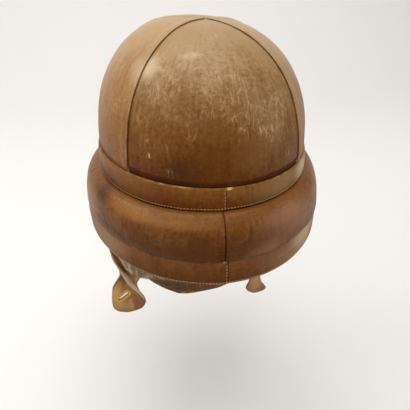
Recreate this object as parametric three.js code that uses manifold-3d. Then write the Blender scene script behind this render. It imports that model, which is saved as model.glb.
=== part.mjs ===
// Leather flying helmet: a crown of four panels, a padded roll round its lower half, and soft
// leather pieces that hang inside the rim.
// Lengths are in millimetres. +Z is up, the back of the helmet faces +Y and the wearer's left is +X.
// The origin is where the helmet sits on the head, on the inside of the top of the crown.

import * as THREE from 'three';
import { mergeVertices } from 'three/addons/utils/BufferGeometryUtils.js';
import Module from 'manifold-3d';

const wasm = await Module();
wasm.setup();

// Driving dimensions

const GAP = 0.3; // clearance between neighbouring pieces

const CROWN = {
  halfWidth: 96.4,
  halfLength: 117.7,
  height: 110, // from the top edge of the crown band to the top, before the dimple
  outlinePower: 2.34, // fullness of the shoulders in plan
  heightPower: 2.41, // fullness of the shoulders in height
  dimple: 1.72, // the top is pressed in a little at the seam junction
  dimpleReach: 0.31, // as a share of the crown's radius
  shiftBack: 3.1, // the top sits behind the middle of the rim
  leftShoulderRise: 3.87, // the wearer's left shoulder of the crown stands higher
  wall: 3,
  tuck: 0.9, // the panels step in under the crown band
  tuckTop: 0.8, // height above the band's top edge where the step ends
};

const JUNCTION = { x: -3.9, y: 4.5 }; // plan place where the four seams meet
const REAR_SEAM_ANGLE = 47; // degrees from the middle of the back
const FRONT_SEAM_ANGLE = 120;
const SEAM_BOW = 3.9; // each seam bows this far towards the middle, halfway down
const FOLD = { height: 1.0, width: 4.5, fade: 8.5 }; // the side panels' folded, raised edge
const BACK_EDGE_DIP = 0.5; // the back and front panels dip where they pass under that fold

// Rings that the bands and the roll are built between. z counts from the crown band's top edge,
// tilt raises the back and roll raises the wearer's left.
const RING = {
  bandTop: { halfWidth: 97.4, halfLength: 118.7, z: 0, tilt: 0.9, roll: 1.2 },
  bandFoot: { halfWidth: 98.2, halfLength: 119.8, z: -18.1, tilt: 0.2, roll: -1.3 },
  rollWidest: { halfWidth: 112.6, halfLength: 134.6, z: -43, tilt: -3, roll: -0.6 },
  rimTop: { halfWidth: 112.2, halfLength: 130.5, z: -51.8, tilt: -5.4, roll: -0.3 },
  rimFoot: { halfWidth: 111.5, halfLength: 131.5, z: -72.9, tilt: -6.4, roll: -0.3 },
};

// The two strips: wall, how round their edges are, how far down the rounding reaches, and how much
// the middle stands proud.
const BAND = { wall: 1.6, round: 0.4, shoulder: 0.8, belly: 0.4 };
const RIM = { wall: 2.2, round: 0.6, shoulder: 1, belly: 0.6 };

const HOLLOW_TOP = { halfWidth: 93.4, halfLength: 114.7 }; // the roll's inner face under the crown
const HOLLOW_FOOT = { halfWidth: 99.5, halfLength: 119.5 }; // and at its lower edge
const ROLL = {
  tuck: 1, // its top edge passes behind the crown band's face
  underShare: 0.6, // where it turns in, from its widest ring to the rim band's top
  underBelly: 0.3,
  lip: 0.6, // the groove above the rim band
  hollowWaist: 2.4, // its inner face is fuller halfway up
  footRise: 4, // its foot stays this far above the rim's lower edge
  steps: 6, // from the crown band down to the widest ring
};

// The felt's lower edge is level apart from one sag. sagMiddle and the two reaches, towards the face
// and towards the back, are degrees.
const FELT = {
  sag: 12.5,
  sagMiddle: 44,
  sagReachFront: 7,
  sagReachBack: 15,
  edgeLift: 1.2,
  drop: 0.2,
  innerSag: 0.6,
  bevel: 3,
};

const SHEET_WALL = 2.2; // leather of the curtain and the ear flaps

// The curtain spans these angles from the middle of the back. Its lower edge is lowest at dropAngle
// and rises beside it; topRise counts from the rim band's top edge.
const CURTAIN = {
  leftAngle: 49,
  rightAngle: -36,
  dropAngle: 34,
  dropReach: 46,
  lowest: -119,
  rise: 22,
  topRise: 2,
};

// The curtain's sections from top to bottom: share of its height, then the half sizes of the
// ellipse that it follows there.
const CURTAIN_SECTIONS = [
  { share: 0, halfWidth: 94.4, halfLength: 115.3 },
  { share: 0.22, halfWidth: 94.2, halfLength: 115.0 },
  { share: 0.45, halfWidth: 90.5, halfLength: 110.0 },
  { share: 0.72, halfWidth: 84.5, halfLength: 102.6 },
  { share: 1, halfWidth: 80, halfLength: 98 },
];

// Each row of a flap is one level: the place of its outer edge, its middle and its inner edge.
const LEFT_FLAP_SECTIONS = [
  { z: -158, outerX: 94.9, outerY: 4, middleX: 89, middleY: 40, innerX: 74.8, innerY: 70 },
  { z: -180, outerX: 95.2, outerY: 12, middleX: 86.4, middleY: 35, innerX: 73, innerY: 66 },
  { z: -198, outerX: 95.6, outerY: 18, middleX: 82.6, middleY: 25, innerX: 69.5, innerY: 60 },
  { z: -214, outerX: 95.6, outerY: 22, middleX: 80.4, middleY: 15, innerX: 67, innerY: 55 },
  { z: -228, outerX: 93, outerY: 24.8, middleX: 79.6, middleY: 10, innerX: 66.8, innerY: 51 },
  { z: -240, outerX: 88.4, outerY: 26, middleX: 79, middleY: 10, innerX: 69.4, innerY: 43.7 },
  { z: -248, outerX: 88.2, outerY: 25, middleX: 79.6, middleY: 13, innerX: 71.4, innerY: 38 },
  { z: -257, outerX: 92.2, outerY: 22.4, middleX: 80.8, middleY: 17.5, innerX: 71.9, innerY: 33 },
  { z: -267, outerX: 97.1, outerY: 20.2, middleX: 82, middleY: 20.5, innerX: 69.7, innerY: 30 },
  { z: -277, outerX: 98.9, outerY: 18.7, middleX: 81.5, middleY: 21.5, innerX: 65.2, innerY: 27.5 },
  { z: -286, outerX: 99.3, outerY: 18, middleX: 80.8, middleY: 21.5, innerX: 63.9, innerY: 26 },
  { z: -293.5, outerX: 98.7, outerY: 18, middleX: 83, middleY: 21, innerX: 68.8, innerY: 24.8 },
  { z: -298, outerX: 95.4, outerY: 18.8, middleX: 86.8, middleY: 20.6, innerX: 77.6, innerY: 23 },
  { z: -299.9, outerX: 91, outerY: 19.8, middleX: 87.8, middleY: 20.4, innerX: 84.4, innerY: 21 },
];

const RIGHT_FLAP_SECTIONS = [
  { z: -158, outerX: -94.9, outerY: 4, middleX: -89, middleY: 40, innerX: -74.8, innerY: 70 },
  { z: -180, outerX: -94.4, outerY: 12, middleX: -86.6, middleY: 41, innerX: -72, innerY: 66 },
  { z: -198, outerX: -90, outerY: 19, middleX: -79.6, middleY: 37, innerX: -66, innerY: 60 },
  { z: -214, outerX: -82.5, outerY: 23, middleX: -71, middleY: 33, innerX: -60, innerY: 53 },
  { z: -230, outerX: -73, outerY: 26, middleX: -64.5, middleY: 30, innerX: -57, innerY: 45 },
  { z: -246, outerX: -65, outerY: 28.5, middleX: -59.5, middleY: 29.5, innerX: -54.5, innerY: 36 },
  { z: -256, outerX: -61, outerY: 29, middleX: -56.5, middleY: 29.5, innerX: -52, innerY: 32 },
  { z: -263, outerX: -60.5, outerY: 28, middleX: -55.5, middleY: 29, innerX: -50.5, innerY: 30.5 },
  { z: -270, outerX: -62.6, outerY: 26, middleX: -55.5, middleY: 27.5, innerX: -48.5, innerY: 29.5 },
  { z: -276, outerX: -65, outerY: 23.6, middleX: -55.5, middleY: 26, innerX: -46.5, innerY: 28.5 },
  { z: -281, outerX: -68, outerY: 21.4, middleX: -57, middleY: 24.5, innerX: -47, innerY: 27.5 },
  { z: -285, outerX: -70.4, outerY: 19.8, middleX: -60, middleY: 23, innerX: -50.5, innerY: 26 },
  { z: -288, outerX: -70.8, outerY: 19, middleX: -62.5, middleY: 22, innerX: -55, innerY: 24.5 },
  { z: -290.6, outerX: -68.6, outerY: 18.8, middleX: -65.3, middleY: 20, innerX: -61.5, innerY: 21.5 },
];

// tilt and turn are degrees; depth is that of the cut, through the tab and past it.
const BUTTONHOLE = {
  x: 86.9,
  y: 21,
  z: -278.2,
  length: 13.9,
  width: 1.6,
  depth: 12,
  tilt: 43,
  turn: -8,
};

// How finely the surfaces are cut

const RING_STEPS = 72;
const CROWN_ROWS = 14;
const PANEL_COLUMNS = 9; // between the two folded edges
const FLAP_COLUMNS = 8;
const CURTAIN_COLUMNS = 22;
const CURTAIN_ROWS = 8;
const SLOPE_STEP = 0.004; // small step, as a share of the reach or in radians, that gives a slope
const TIP_REACH = 0.02; // slopes are read no nearer to the junction than this

const COLOUR = {
  crown: 0xa67c4c,
  band: 0x8a5c33,
  roll: 0x8c5527,
  rim: 0x84542a,
  felt: 0xb9a183,
  curtain: 0x76512f,
  flap: 0x9a7246,
};

// Heights worked out from the driving dimensions

const ORIGIN_DROP = CROWN.height - CROWN.dimple - CROWN.wall; // band top edge, below the origin
const TIP_INSET = 0.5; // how far a panel's point stays from the seam junction

const radians = THREE.MathUtils.degToRad;

// Builds a closed body from a grid of points. Rows that end where they began are joined up.
function gridBody(rows, { wrapRows = false, wrapColumns = false } = {}) {
  const positions = [];
  const indices = [];
  const columns = rows[0].length;
  rows.forEach((row) => row.forEach((point) => positions.push(point.x, point.y, point.z)));
  const rowCount = wrapRows ? rows.length : rows.length - 1;
  const columnCount = wrapColumns ? columns : columns - 1;
  for (let i = 0; i < rowCount; i += 1) {
    for (let j = 0; j < columnCount; j += 1) {
      const a = i * columns + j;
      const b = i * columns + ((j + 1) % columns);
      const c = ((i + 1) % rows.length) * columns + ((j + 1) % columns);
      const d = ((i + 1) % rows.length) * columns + j;
      indices.push(a, b, c, a, c, d);
    }
  }
  return { positions, indices };
}

// Merges equal corners, drops flat triangles and turns the faces outwards.
function closedGeometry({ positions, indices }) {
  let geometry = new THREE.BufferGeometry();
  geometry.setAttribute('position', new THREE.Float32BufferAttribute(positions, 3));
  geometry.setIndex(indices);
  geometry = mergeVertices(geometry, 1e-4);
  const index = geometry.getIndex();
  const kept = [];
  for (let i = 0; i < index.count; i += 3) {
    const [a, b, c] = [index.getX(i), index.getX(i + 1), index.getX(i + 2)];
    if (a !== b && b !== c && c !== a) {
      kept.push(a, b, c);
    }
  }
  geometry.setIndex(signedVolume(geometry, kept) > 0 ? kept : flipped(kept));
  geometry.computeVertexNormals();
  return geometry;
}

function signedVolume(geometry, index) {
  const position = geometry.getAttribute('position');
  const corner = [new THREE.Vector3(), new THREE.Vector3(), new THREE.Vector3()];
  let volume = 0;
  for (let i = 0; i < index.length; i += 3) {
    corner.forEach((point, k) => point.fromBufferAttribute(position, index[i + k]));
    volume += corner[0].dot(corner[1].cross(corner[2])) / 6;
  }
  return volume;
}

function flipped(index) {
  const turned = [];
  for (let i = 0; i < index.length; i += 3) {
    turned.push(index[i], index[i + 2], index[i + 1]);
  }
  return turned;
}

function addMesh(group, name, geometry, colour, roughness) {
  const material = new THREE.MeshStandardMaterial({ color: colour, roughness, metalness: 0 });
  const mesh = new THREE.Mesh(geometry, material);
  mesh.name = name;
  group.add(mesh);
}

// A point of a ring at an angle from the middle of the back, moved out and up.
function ringPoint(ring, angle, out = 0, up = 0) {
  return new THREE.Vector3(
    (ring.halfWidth + out) * Math.sin(angle),
    (ring.halfLength + out) * Math.cos(angle),
    ring.z + ring.tilt * Math.cos(angle) + ring.roll * Math.sin(angle) + up - ORIGIN_DROP,
  );
}

// A closed ring whose section is worked out at each angle.
function ringBody(sectionAt) {
  const rows = [];
  for (let i = 0; i < RING_STEPS; i += 1) {
    rows.push(sectionAt((i / RING_STEPS) * 2 * Math.PI));
  }
  return closedGeometry(gridBody(rows, { wrapRows: true, wrapColumns: true }));
}

// Crown

// Height of the crown above the band's top edge at a plan place measured from the middle.
function crownHeight(x, y) {
  const share = Math.min(Math.hypot(x / CROWN.halfWidth, y / CROWN.halfLength), 1);
  const dome = (1 - share ** CROWN.outlinePower) ** (1 / CROWN.heightPower);
  const dimple = CROWN.dimple * Math.exp(-share / CROWN.dimpleReach);
  const shoulder = CROWN.leftShoulderRise * (x / CROWN.halfWidth) * (1 - share * share);
  return CROWN.height * dome - dimple + shoulder;
}

// Outer surface: reach runs from 0 at the junction to 1 at the band, sideways moves along the seam's
// normal in plan, and drop goes on straight down behind the band.
function crownPoint(angle, reach, sideways = 0, drop = 0) {
  const foot = ringPoint({ ...CROWN, z: 0, tilt: 0, roll: 0 }, angle);
  const along = new THREE.Vector2(foot.x - JUNCTION.x, foot.y - JUNCTION.y);
  const across = new THREE.Vector2(along.y, -along.x).normalize().multiplyScalar(sideways);
  const bow = SEAM_BOW * 4 * reach * (1 - reach) * Math.sin(angle);
  const x = JUNCTION.x + along.x * reach + across.x - bow;
  const y = JUNCTION.y + along.y * reach + across.y;
  const share = Math.min(Math.hypot(x / CROWN.halfWidth, y / CROWN.halfLength), 1);
  const level = RING.bandTop.tilt * (y / CROWN.halfLength) + RING.bandTop.roll * (x / CROWN.halfWidth);
  const z = crownHeight(x, y) + level - drop - ORIGIN_DROP;
  return new THREE.Vector3(x, y + CROWN.shiftBack * (1 - share), z);
}

function crownNormal(angle, reach, sideways) {
  const step = SLOPE_STEP;
  const near = Math.min(Math.max(reach, TIP_REACH), 1 - 2 * step);
  const down = crownPoint(angle, near + step, sideways).sub(crownPoint(angle, near - step, sideways));
  const round = crownPoint(angle + step, near, sideways).sub(crownPoint(angle - step, near, sideways));
  return round.cross(down).normalize();
}

// Shares of a row's width, with close steps beside both edges for the folded seams.
function panelColumns(width) {
  const fold = Math.min(FOLD.width / width, 0.1);
  const fade = Math.min(FOLD.fade / width, 0.2);
  const shares = [0, fold, fade];
  for (let i = 1; i < PANEL_COLUMNS; i += 1) {
    shares.push(fade + (1 - 2 * fade) * (i / PANEL_COLUMNS));
  }
  return [...shares, 1 - fade, 1 - fold, 1];
}

// One panel between two seams, with its edges raised or sunk.
function crownPanel(fromDegrees, toDegrees, { edgeLift, foldLift }) {
  const from = radians(fromDegrees);
  const to = radians(toDegrees);
  const middle = (from + to) / 2;
  const outer = [];
  const inner = [];
  const stations = [];
  for (let i = 1; i <= CROWN_ROWS; i += 1) {
    const lean = (i / CROWN_ROWS) * (Math.PI / 2);
    stations.push({ reach: Math.sin(lean) ** (2 / CROWN.outlinePower), drop: 0, tuck: 0 });
  }
  stations[CROWN_ROWS - 1].drop = -2 * CROWN.tuckTop;
  stations.push({ reach: 1, drop: -CROWN.tuckTop / 2, tuck: CROWN.tuck });
  stations.push({ reach: 1, drop: 0, tuck: CROWN.tuck, foot: true });

  stations.forEach(({ reach, drop, tuck, foot }) => {
    const width = crownPoint(from, reach).distanceTo(crownPoint(to, reach));
    const outerRow = [];
    const innerRow = [];
    const shares = panelColumns(width);
    shares.forEach((share, column) => {
      const angle = from + (to - from) * share;
      const sideways = (GAP / 2) * (1 - 2 * share) * Math.sign(to - from);
      const fromEdge = Math.min(column, shares.length - 1 - column);
      const lift = [edgeLift, foldLift][fromEdge] ?? 0;
      const normal = crownNormal(angle, reach, sideways);
      if (reach === 1) {
        normal.setZ(0).normalize();
      }
      const surface = crownPoint(angle, reach, sideways, drop);
      if (foot) {
        surface.z = ringPoint(RING.bandFoot, angle, 0, -GAP).z;
      }
      innerRow.push(surface.clone().addScaledVector(normal, -CROWN.wall));
      outerRow.push(surface.clone().addScaledVector(normal, tuck > 0 ? -tuck : lift));
    });
    outer.push(outerRow);
    inner.push(innerRow);
  });

  const tip = crownPoint(middle, TIP_INSET / CROWN.halfLength);
  const tipRow = outer[0].map(() => tip);
  const tipInnerRow = outer[0].map(() => tip.clone().setZ(tip.z - CROWN.wall));
  const loops = [tipRow, ...outer].map((row, i) => {
    const under = [tipInnerRow, ...inner][i];
    return [...row, ...[...under].reverse()];
  });
  return closedGeometry(capped(loops));
}

// Joins loops into a tube and closes it with a strip of faces at each end.
function capped(loops) {
  const body = gridBody(loops, { wrapColumns: true });
  const size = loops[0].length;
  const half = size / 2;
  [[0, 1], [loops.length - 1, -1]].forEach(([row, direction]) => {
    const start = row * size;
    for (let i = 0; i < half - 1; i += 1) {
      const quad = [start + i, start + size - 1 - i, start + size - 2 - i, start + i + 1];
      const [a, b, c, d] = direction > 0 ? quad : quad.reverse();
      body.indices.push(a, b, c, a, c, d);
    }
  });
  return body;
}

// Bands, roll and felt

function between(ringA, ringB, share) {
  const mixed = {};
  Object.keys(ringA).forEach((key) => {
    mixed[key] = THREE.MathUtils.lerp(ringA[key], ringB[key], share);
  });
  return mixed;
}

// The narrower of two rings, for the upright inner face of a strip between them.
function upright(top, foot) {
  return {
    halfWidth: Math.min(top.halfWidth, foot.halfWidth),
    halfLength: Math.min(top.halfLength, foot.halfLength),
  };
}

function stripSection(top, foot, shape, angle) {
  const inner = upright(top, foot);
  return [
    ringPoint({ ...top, ...inner }, angle, -shape.wall),
    ringPoint(top, angle, -shape.round),
    ringPoint(top, angle, 0, -shape.shoulder),
    ringPoint(between(top, foot, 0.5), angle, shape.belly),
    ringPoint(foot, angle, 0, shape.shoulder),
    ringPoint(foot, angle, -shape.round),
    ringPoint({ ...foot, ...inner }, angle, -shape.wall),
  ];
}

// Outer face of the roll from the crown band's foot to its widest place, then in to the rim.
function rollSection(angle) {
  const { bandFoot, rollWidest, rimTop, rimFoot } = RING;
  const section = [
    ringPoint({ ...bandFoot, ...HOLLOW_TOP }, angle, 0, -2 * GAP),
    ringPoint(bandFoot, angle, -ROLL.tuck, -2 * GAP),
  ];
  for (let i = 1; i <= ROLL.steps; i += 1) {
    const lean = (i / ROLL.steps) * (Math.PI / 2);
    const ring = between(bandFoot, rollWidest, 1 - Math.cos(lean));
    const { halfWidth, halfLength } = between(bandFoot, rollWidest, Math.sin(lean));
    section.push(ringPoint({ ...ring, halfWidth, halfLength }, angle, 0, -2 * GAP * Math.cos(lean)));
  }
  const backing = upright(rimTop, rimFoot);
  const hidden = -RIM.wall - GAP;
  const middle = between(bandFoot, rimFoot, 0.5);
  section.push(ringPoint(between(rollWidest, rimTop, ROLL.underShare), angle, ROLL.underBelly));
  section.push(ringPoint(rimTop, angle, -ROLL.lip, GAP));
  section.push(ringPoint({ ...rimTop, ...backing }, angle, hidden, 0));
  section.push(ringPoint({ ...rimFoot, ...backing }, angle, hidden, ROLL.footRise));
  section.push(ringPoint({ ...rimFoot, ...HOLLOW_FOOT }, angle, 0, ROLL.footRise));
  section.push(ringPoint({ ...middle, ...HOLLOW_FOOT }, angle, -ROLL.hollowWaist));
  return section;
}

// The felt closes the roll's underside and sags below the rim on the wearer's left.
function feltSection(angle) {
  const foot = { ...RING.rimFoot, ...upright(RING.rimTop, RING.rimFoot) };
  const turn = THREE.MathUtils.radToDeg(Math.atan2(Math.sin(angle), Math.cos(angle)));
  const reach = turn > FELT.sagMiddle ? FELT.sagReachFront : FELT.sagReachBack;
  const off = (turn - FELT.sagMiddle) / reach;
  const sag = FELT.sag * Math.exp(-off * off);
  const top = ROLL.footRise - GAP;
  const outer = -RIM.wall - GAP;
  const hollow = { ...foot, ...HOLLOW_FOOT };
  return [
    ringPoint(hollow, angle, 0, top),
    ringPoint(foot, angle, outer, top),
    ringPoint(foot, angle, outer, FELT.edgeLift - sag),
    ringPoint(foot, angle, outer - FELT.edgeLift, -FELT.drop - sag),
    ringPoint(hollow, angle, FELT.bevel, -FELT.drop - FELT.innerSag * sag),
    ringPoint(hollow, angle, 0, FELT.edgeLift),
  ];
}

// Soft sheets

// Thickens a grid of middle points to both sides and closes it.
function sheetBody(grid, wall) {
  const count = grid[0].length;
  const loops = grid.map((row, i) => {
    const above = grid[Math.max(i - 1, 0)];
    const below = grid[Math.min(i + 1, grid.length - 1)];
    const front = [];
    const back = [];
    row.forEach((point, j) => {
      const down = below[j].clone().sub(above[j]);
      const along = row[Math.min(j + 1, count - 1)].clone().sub(row[Math.max(j - 1, 0)]);
      const normal = along.cross(down).normalize().multiplyScalar(wall / 2);
      front.push(point.clone().add(normal));
      back.push(point.clone().sub(normal));
    });
    return [...front, ...back.reverse()];
  });
  return closedGeometry(capped(loops));
}

function curtainGrid() {
  const grid = [];
  for (let i = 0; i <= CURTAIN_ROWS; i += 1) {
    const share = i / CURTAIN_ROWS;
    const row = [];
    for (let j = 0; j <= CURTAIN_COLUMNS; j += 1) {
      const spread = j / CURTAIN_COLUMNS;
      const turn = THREE.MathUtils.lerp(CURTAIN.leftAngle, CURTAIN.rightAngle, spread);
      const angle = radians(turn);
      const ring = curtainRing(share);
      ring.z = THREE.MathUtils.lerp(RING.rimTop.z + CURTAIN.topRise, curtainFoot(turn), share);
      row.push(ringPoint(ring, angle));
    }
    grid.push(row);
  }
  return grid;
}

function curtainRing(share) {
  const last = CURTAIN_SECTIONS.length - 1;
  const next = Math.min(CURTAIN_SECTIONS.findIndex((row) => row.share > share), last);
  const upper = CURTAIN_SECTIONS[next > 0 ? next - 1 : last - 1];
  const lower = CURTAIN_SECTIONS[next > 0 ? next : last];
  const part = (share - upper.share) / (lower.share - upper.share);
  return { ...between(upper, lower, part), z: 0, tilt: 0, roll: 0 };
}

// Height of the curtain's lower edge: lowest towards the wearer's left, rising to the right.
function curtainFoot(turn) {
  const off = (turn - CURTAIN.dropAngle) / CURTAIN.dropReach;
  return CURTAIN.lowest + CURTAIN.rise * (1 - Math.exp(-off * off));
}

// Each level of a flap is a curve through its outer edge, its middle and its inner edge.
function flapGrid(sections) {
  return sections.map((section) => {
    const curve = new THREE.QuadraticBezierCurve3(
      new THREE.Vector3(section.outerX, section.outerY, section.z),
      new THREE.Vector3(
        2 * section.middleX - (section.outerX + section.innerX) / 2,
        2 * section.middleY - (section.outerY + section.innerY) / 2,
        section.z,
      ),
      new THREE.Vector3(section.innerX, section.innerY, section.z),
    );
    return curve.getPoints(FLAP_COLUMNS);
  });
}

// Buttonhole

function toSolid(geometry) {
  const bare = geometry.clone();
  bare.deleteAttribute('normal');
  bare.deleteAttribute('uv');
  const merged = mergeVertices(bare, 1e-4);
  return new wasm.Manifold(new wasm.Mesh({
    numProp: 3,
    vertProperties: new Float32Array(merged.getAttribute('position').array),
    triVerts: new Uint32Array(merged.getIndex().array),
  }));
}

function fromSolid(solid) {
  const { vertProperties, triVerts } = solid.getMesh();
  const geometry = new THREE.BufferGeometry();
  geometry.setAttribute('position', new THREE.BufferAttribute(vertProperties, 3));
  geometry.setIndex(new THREE.BufferAttribute(triVerts, 1));
  geometry.computeVertexNormals();
  return geometry;
}

function withButtonhole(flap) {
  const slit = new THREE.BoxGeometry(BUTTONHOLE.length, BUTTONHOLE.depth, BUTTONHOLE.width);
  slit.rotateY(radians(BUTTONHOLE.tilt));
  slit.rotateZ(radians(BUTTONHOLE.turn));
  slit.translate(BUTTONHOLE.x, BUTTONHOLE.y, BUTTONHOLE.z);
  return fromSolid(toSolid(flap).subtract(toSolid(slit)));
}

// Helmet

const helmet = new THREE.Group();

// edgeLift is for the seam edge itself, foldLift for the strip beside it.
const RAISED = { edgeLift: FOLD.height, foldLift: FOLD.height };
const DIPPED = { edgeLift: -BACK_EDGE_DIP, foldLift: 0 };
const PANELS = [
  { name: 'crown_panel_back', from: -REAR_SEAM_ANGLE, to: REAR_SEAM_ANGLE, edge: DIPPED },
  { name: 'crown_panel_left', from: REAR_SEAM_ANGLE, to: FRONT_SEAM_ANGLE, edge: RAISED },
  { name: 'crown_panel_front', from: FRONT_SEAM_ANGLE, to: 360 - FRONT_SEAM_ANGLE, edge: DIPPED },
  { name: 'crown_panel_right', from: -FRONT_SEAM_ANGLE, to: -REAR_SEAM_ANGLE, edge: RAISED },
];

PANELS.forEach(({ name, from, to, edge }) => {
  addMesh(helmet, name, crownPanel(from, to, edge), COLOUR.crown, 0.55);
});
const crownBand = ringBody((angle) => stripSection(RING.bandTop, RING.bandFoot, BAND, angle));
const rimBand = ringBody((angle) => stripSection(RING.rimTop, RING.rimFoot, RIM, angle));
const leftFlap = withButtonhole(sheetBody(flapGrid(LEFT_FLAP_SECTIONS), SHEET_WALL));
const rightFlap = sheetBody(flapGrid(RIGHT_FLAP_SECTIONS), SHEET_WALL);
addMesh(helmet, 'crown_band', crownBand, COLOUR.band, 0.5);
addMesh(helmet, 'padded_roll', ringBody(rollSection), COLOUR.roll, 0.45);
addMesh(helmet, 'rim_band', rimBand, COLOUR.rim, 0.5);
addMesh(helmet, 'felt_lining', ringBody(feltSection), COLOUR.felt, 0.95);
addMesh(helmet, 'nape_curtain', sheetBody(curtainGrid(), SHEET_WALL), COLOUR.curtain, 0.65);
addMesh(helmet, 'ear_flap_left', leftFlap, COLOUR.flap, 0.55);
addMesh(helmet, 'ear_flap_right', rightFlap, COLOUR.flap, 0.55);

export default helmet;
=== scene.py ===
"""Looks of a leather flying helmet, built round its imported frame.

Blender objects are in metres. The tables below are in millimetres and degrees, as a maker would note
them, and mm() or math.radians() turns them into the scene's units. +Z is up, the back of the helmet
faces +Y and the wearer's left is +X. The origin is inside the top of the crown.
"""

import logging
import math
import random
from dataclasses import dataclass, field
from enum import Enum
from typing import Callable, Sequence

import bmesh
import bpy
from mathutils import Matrix, Vector, noise
from mathutils.bvhtree import BVHTree


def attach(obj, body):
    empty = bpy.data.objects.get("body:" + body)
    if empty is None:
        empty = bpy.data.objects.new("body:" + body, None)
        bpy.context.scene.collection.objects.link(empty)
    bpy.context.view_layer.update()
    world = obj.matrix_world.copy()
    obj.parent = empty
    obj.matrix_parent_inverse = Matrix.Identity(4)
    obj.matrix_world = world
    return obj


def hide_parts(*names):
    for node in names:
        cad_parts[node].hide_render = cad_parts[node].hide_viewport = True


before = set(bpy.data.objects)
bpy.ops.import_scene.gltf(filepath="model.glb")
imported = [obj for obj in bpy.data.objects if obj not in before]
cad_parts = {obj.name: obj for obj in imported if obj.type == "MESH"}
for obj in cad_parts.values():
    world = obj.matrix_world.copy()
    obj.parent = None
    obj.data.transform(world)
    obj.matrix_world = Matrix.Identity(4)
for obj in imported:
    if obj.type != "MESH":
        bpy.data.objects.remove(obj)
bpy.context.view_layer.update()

BODY = "root"
UV_NAME = "surface"
LOG = logging.getLogger("helmet")

Colour = tuple[float, float, float]


def mm(value: float) -> float:
    """Returns a length in millimetres as metres."""
    return value * 0.001


def mm_vector(x: float, y: float, z: float) -> Vector:
    """Returns a place given in millimetres as a vector in metres."""
    return Vector((mm(x), mm(y), mm(z)))


def smooth(low: float, high: float, value: float) -> float:
    """Returns 0 below low, 1 above high, and an even curve between."""
    share = min(max((value - low) / (high - low), 0.0), 1.0)
    return share * share * (3 - 2 * share)


def bell(value: float, middle: float, reach: float) -> float:
    """Returns a round bump of height 1 at middle that fades over reach."""
    off = (value - middle) / reach
    return math.exp(-off * off)


def blend(low: float, high: float, share: float) -> float:
    """Returns the value at a share of the way from low to high."""
    return low + (high - low) * share


def rough(place: Vector, grain: float, seed: float = 0.0) -> float:
    """Returns smooth noise from -1 to 1 at a place, with bumps about grain millimetres across."""
    return noise.noise(place / mm(grain) + Vector((seed, seed * 1.7, -seed)))


# Colours

def srgb(code: int) -> Colour:
    """Returns a colour written as 0xRRGGBB in the linear values that shaders use.

    Args:
        code: the colour as it looks on a screen.

    Returns:
        Red, green and blue from 0 to 1.
    """
    def channel(shift: int) -> float:
        value = ((code >> shift) & 255) / 255
        return value / 12.92 if value <= 0.04045 else ((value + 0.055) / 1.055) ** 2.4
    return channel(16), channel(8), channel(0)


# Shader expressions

Term = "Wire | float | Colour"


class Wire:
    """One output of a shader node that takes part in Python expressions on values."""

    def __init__(self, graph: "Graph", socket: bpy.types.NodeSocket) -> None:
        """Wraps a socket of a graph."""
        self.graph = graph
        self.socket = socket

    def __add__(self, other: Term) -> "Wire":
        """Returns self + other."""
        return self.graph.maths("ADD", self, other)

    def __sub__(self, other: Term) -> "Wire":
        """Returns self - other."""
        return self.graph.maths("SUBTRACT", self, other)

    def __mul__(self, other: Term) -> "Wire":
        """Returns self * other."""
        return self.graph.maths("MULTIPLY", self, other)

    def __truediv__(self, other: Term) -> "Wire":
        """Returns self / other."""
        return self.graph.maths("DIVIDE", self, other)

    def __radd__(self, other: Term) -> "Wire":
        """Returns other + self."""
        return self.graph.maths("ADD", other, self)

    def __rsub__(self, other: Term) -> "Wire":
        """Returns other - self."""
        return self.graph.maths("SUBTRACT", other, self)

    def __rmul__(self, other: Term) -> "Wire":
        """Returns other * self."""
        return self.graph.maths("MULTIPLY", other, self)

    def rise(self, low: float, high: float) -> "Wire":
        """Returns 0 where this is below low, 1 above high, with a smooth step between."""
        settings = {"interpolation_type": "SMOOTHSTEP", "clamp": True}
        return self.graph.node("ShaderNodeMapRange", settings, {0: self, 1: low, 2: high})

    def most(self, other: Term) -> "Wire":
        """Returns the larger of this and other."""
        return self.graph.maths("MAXIMUM", self, other)


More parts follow.
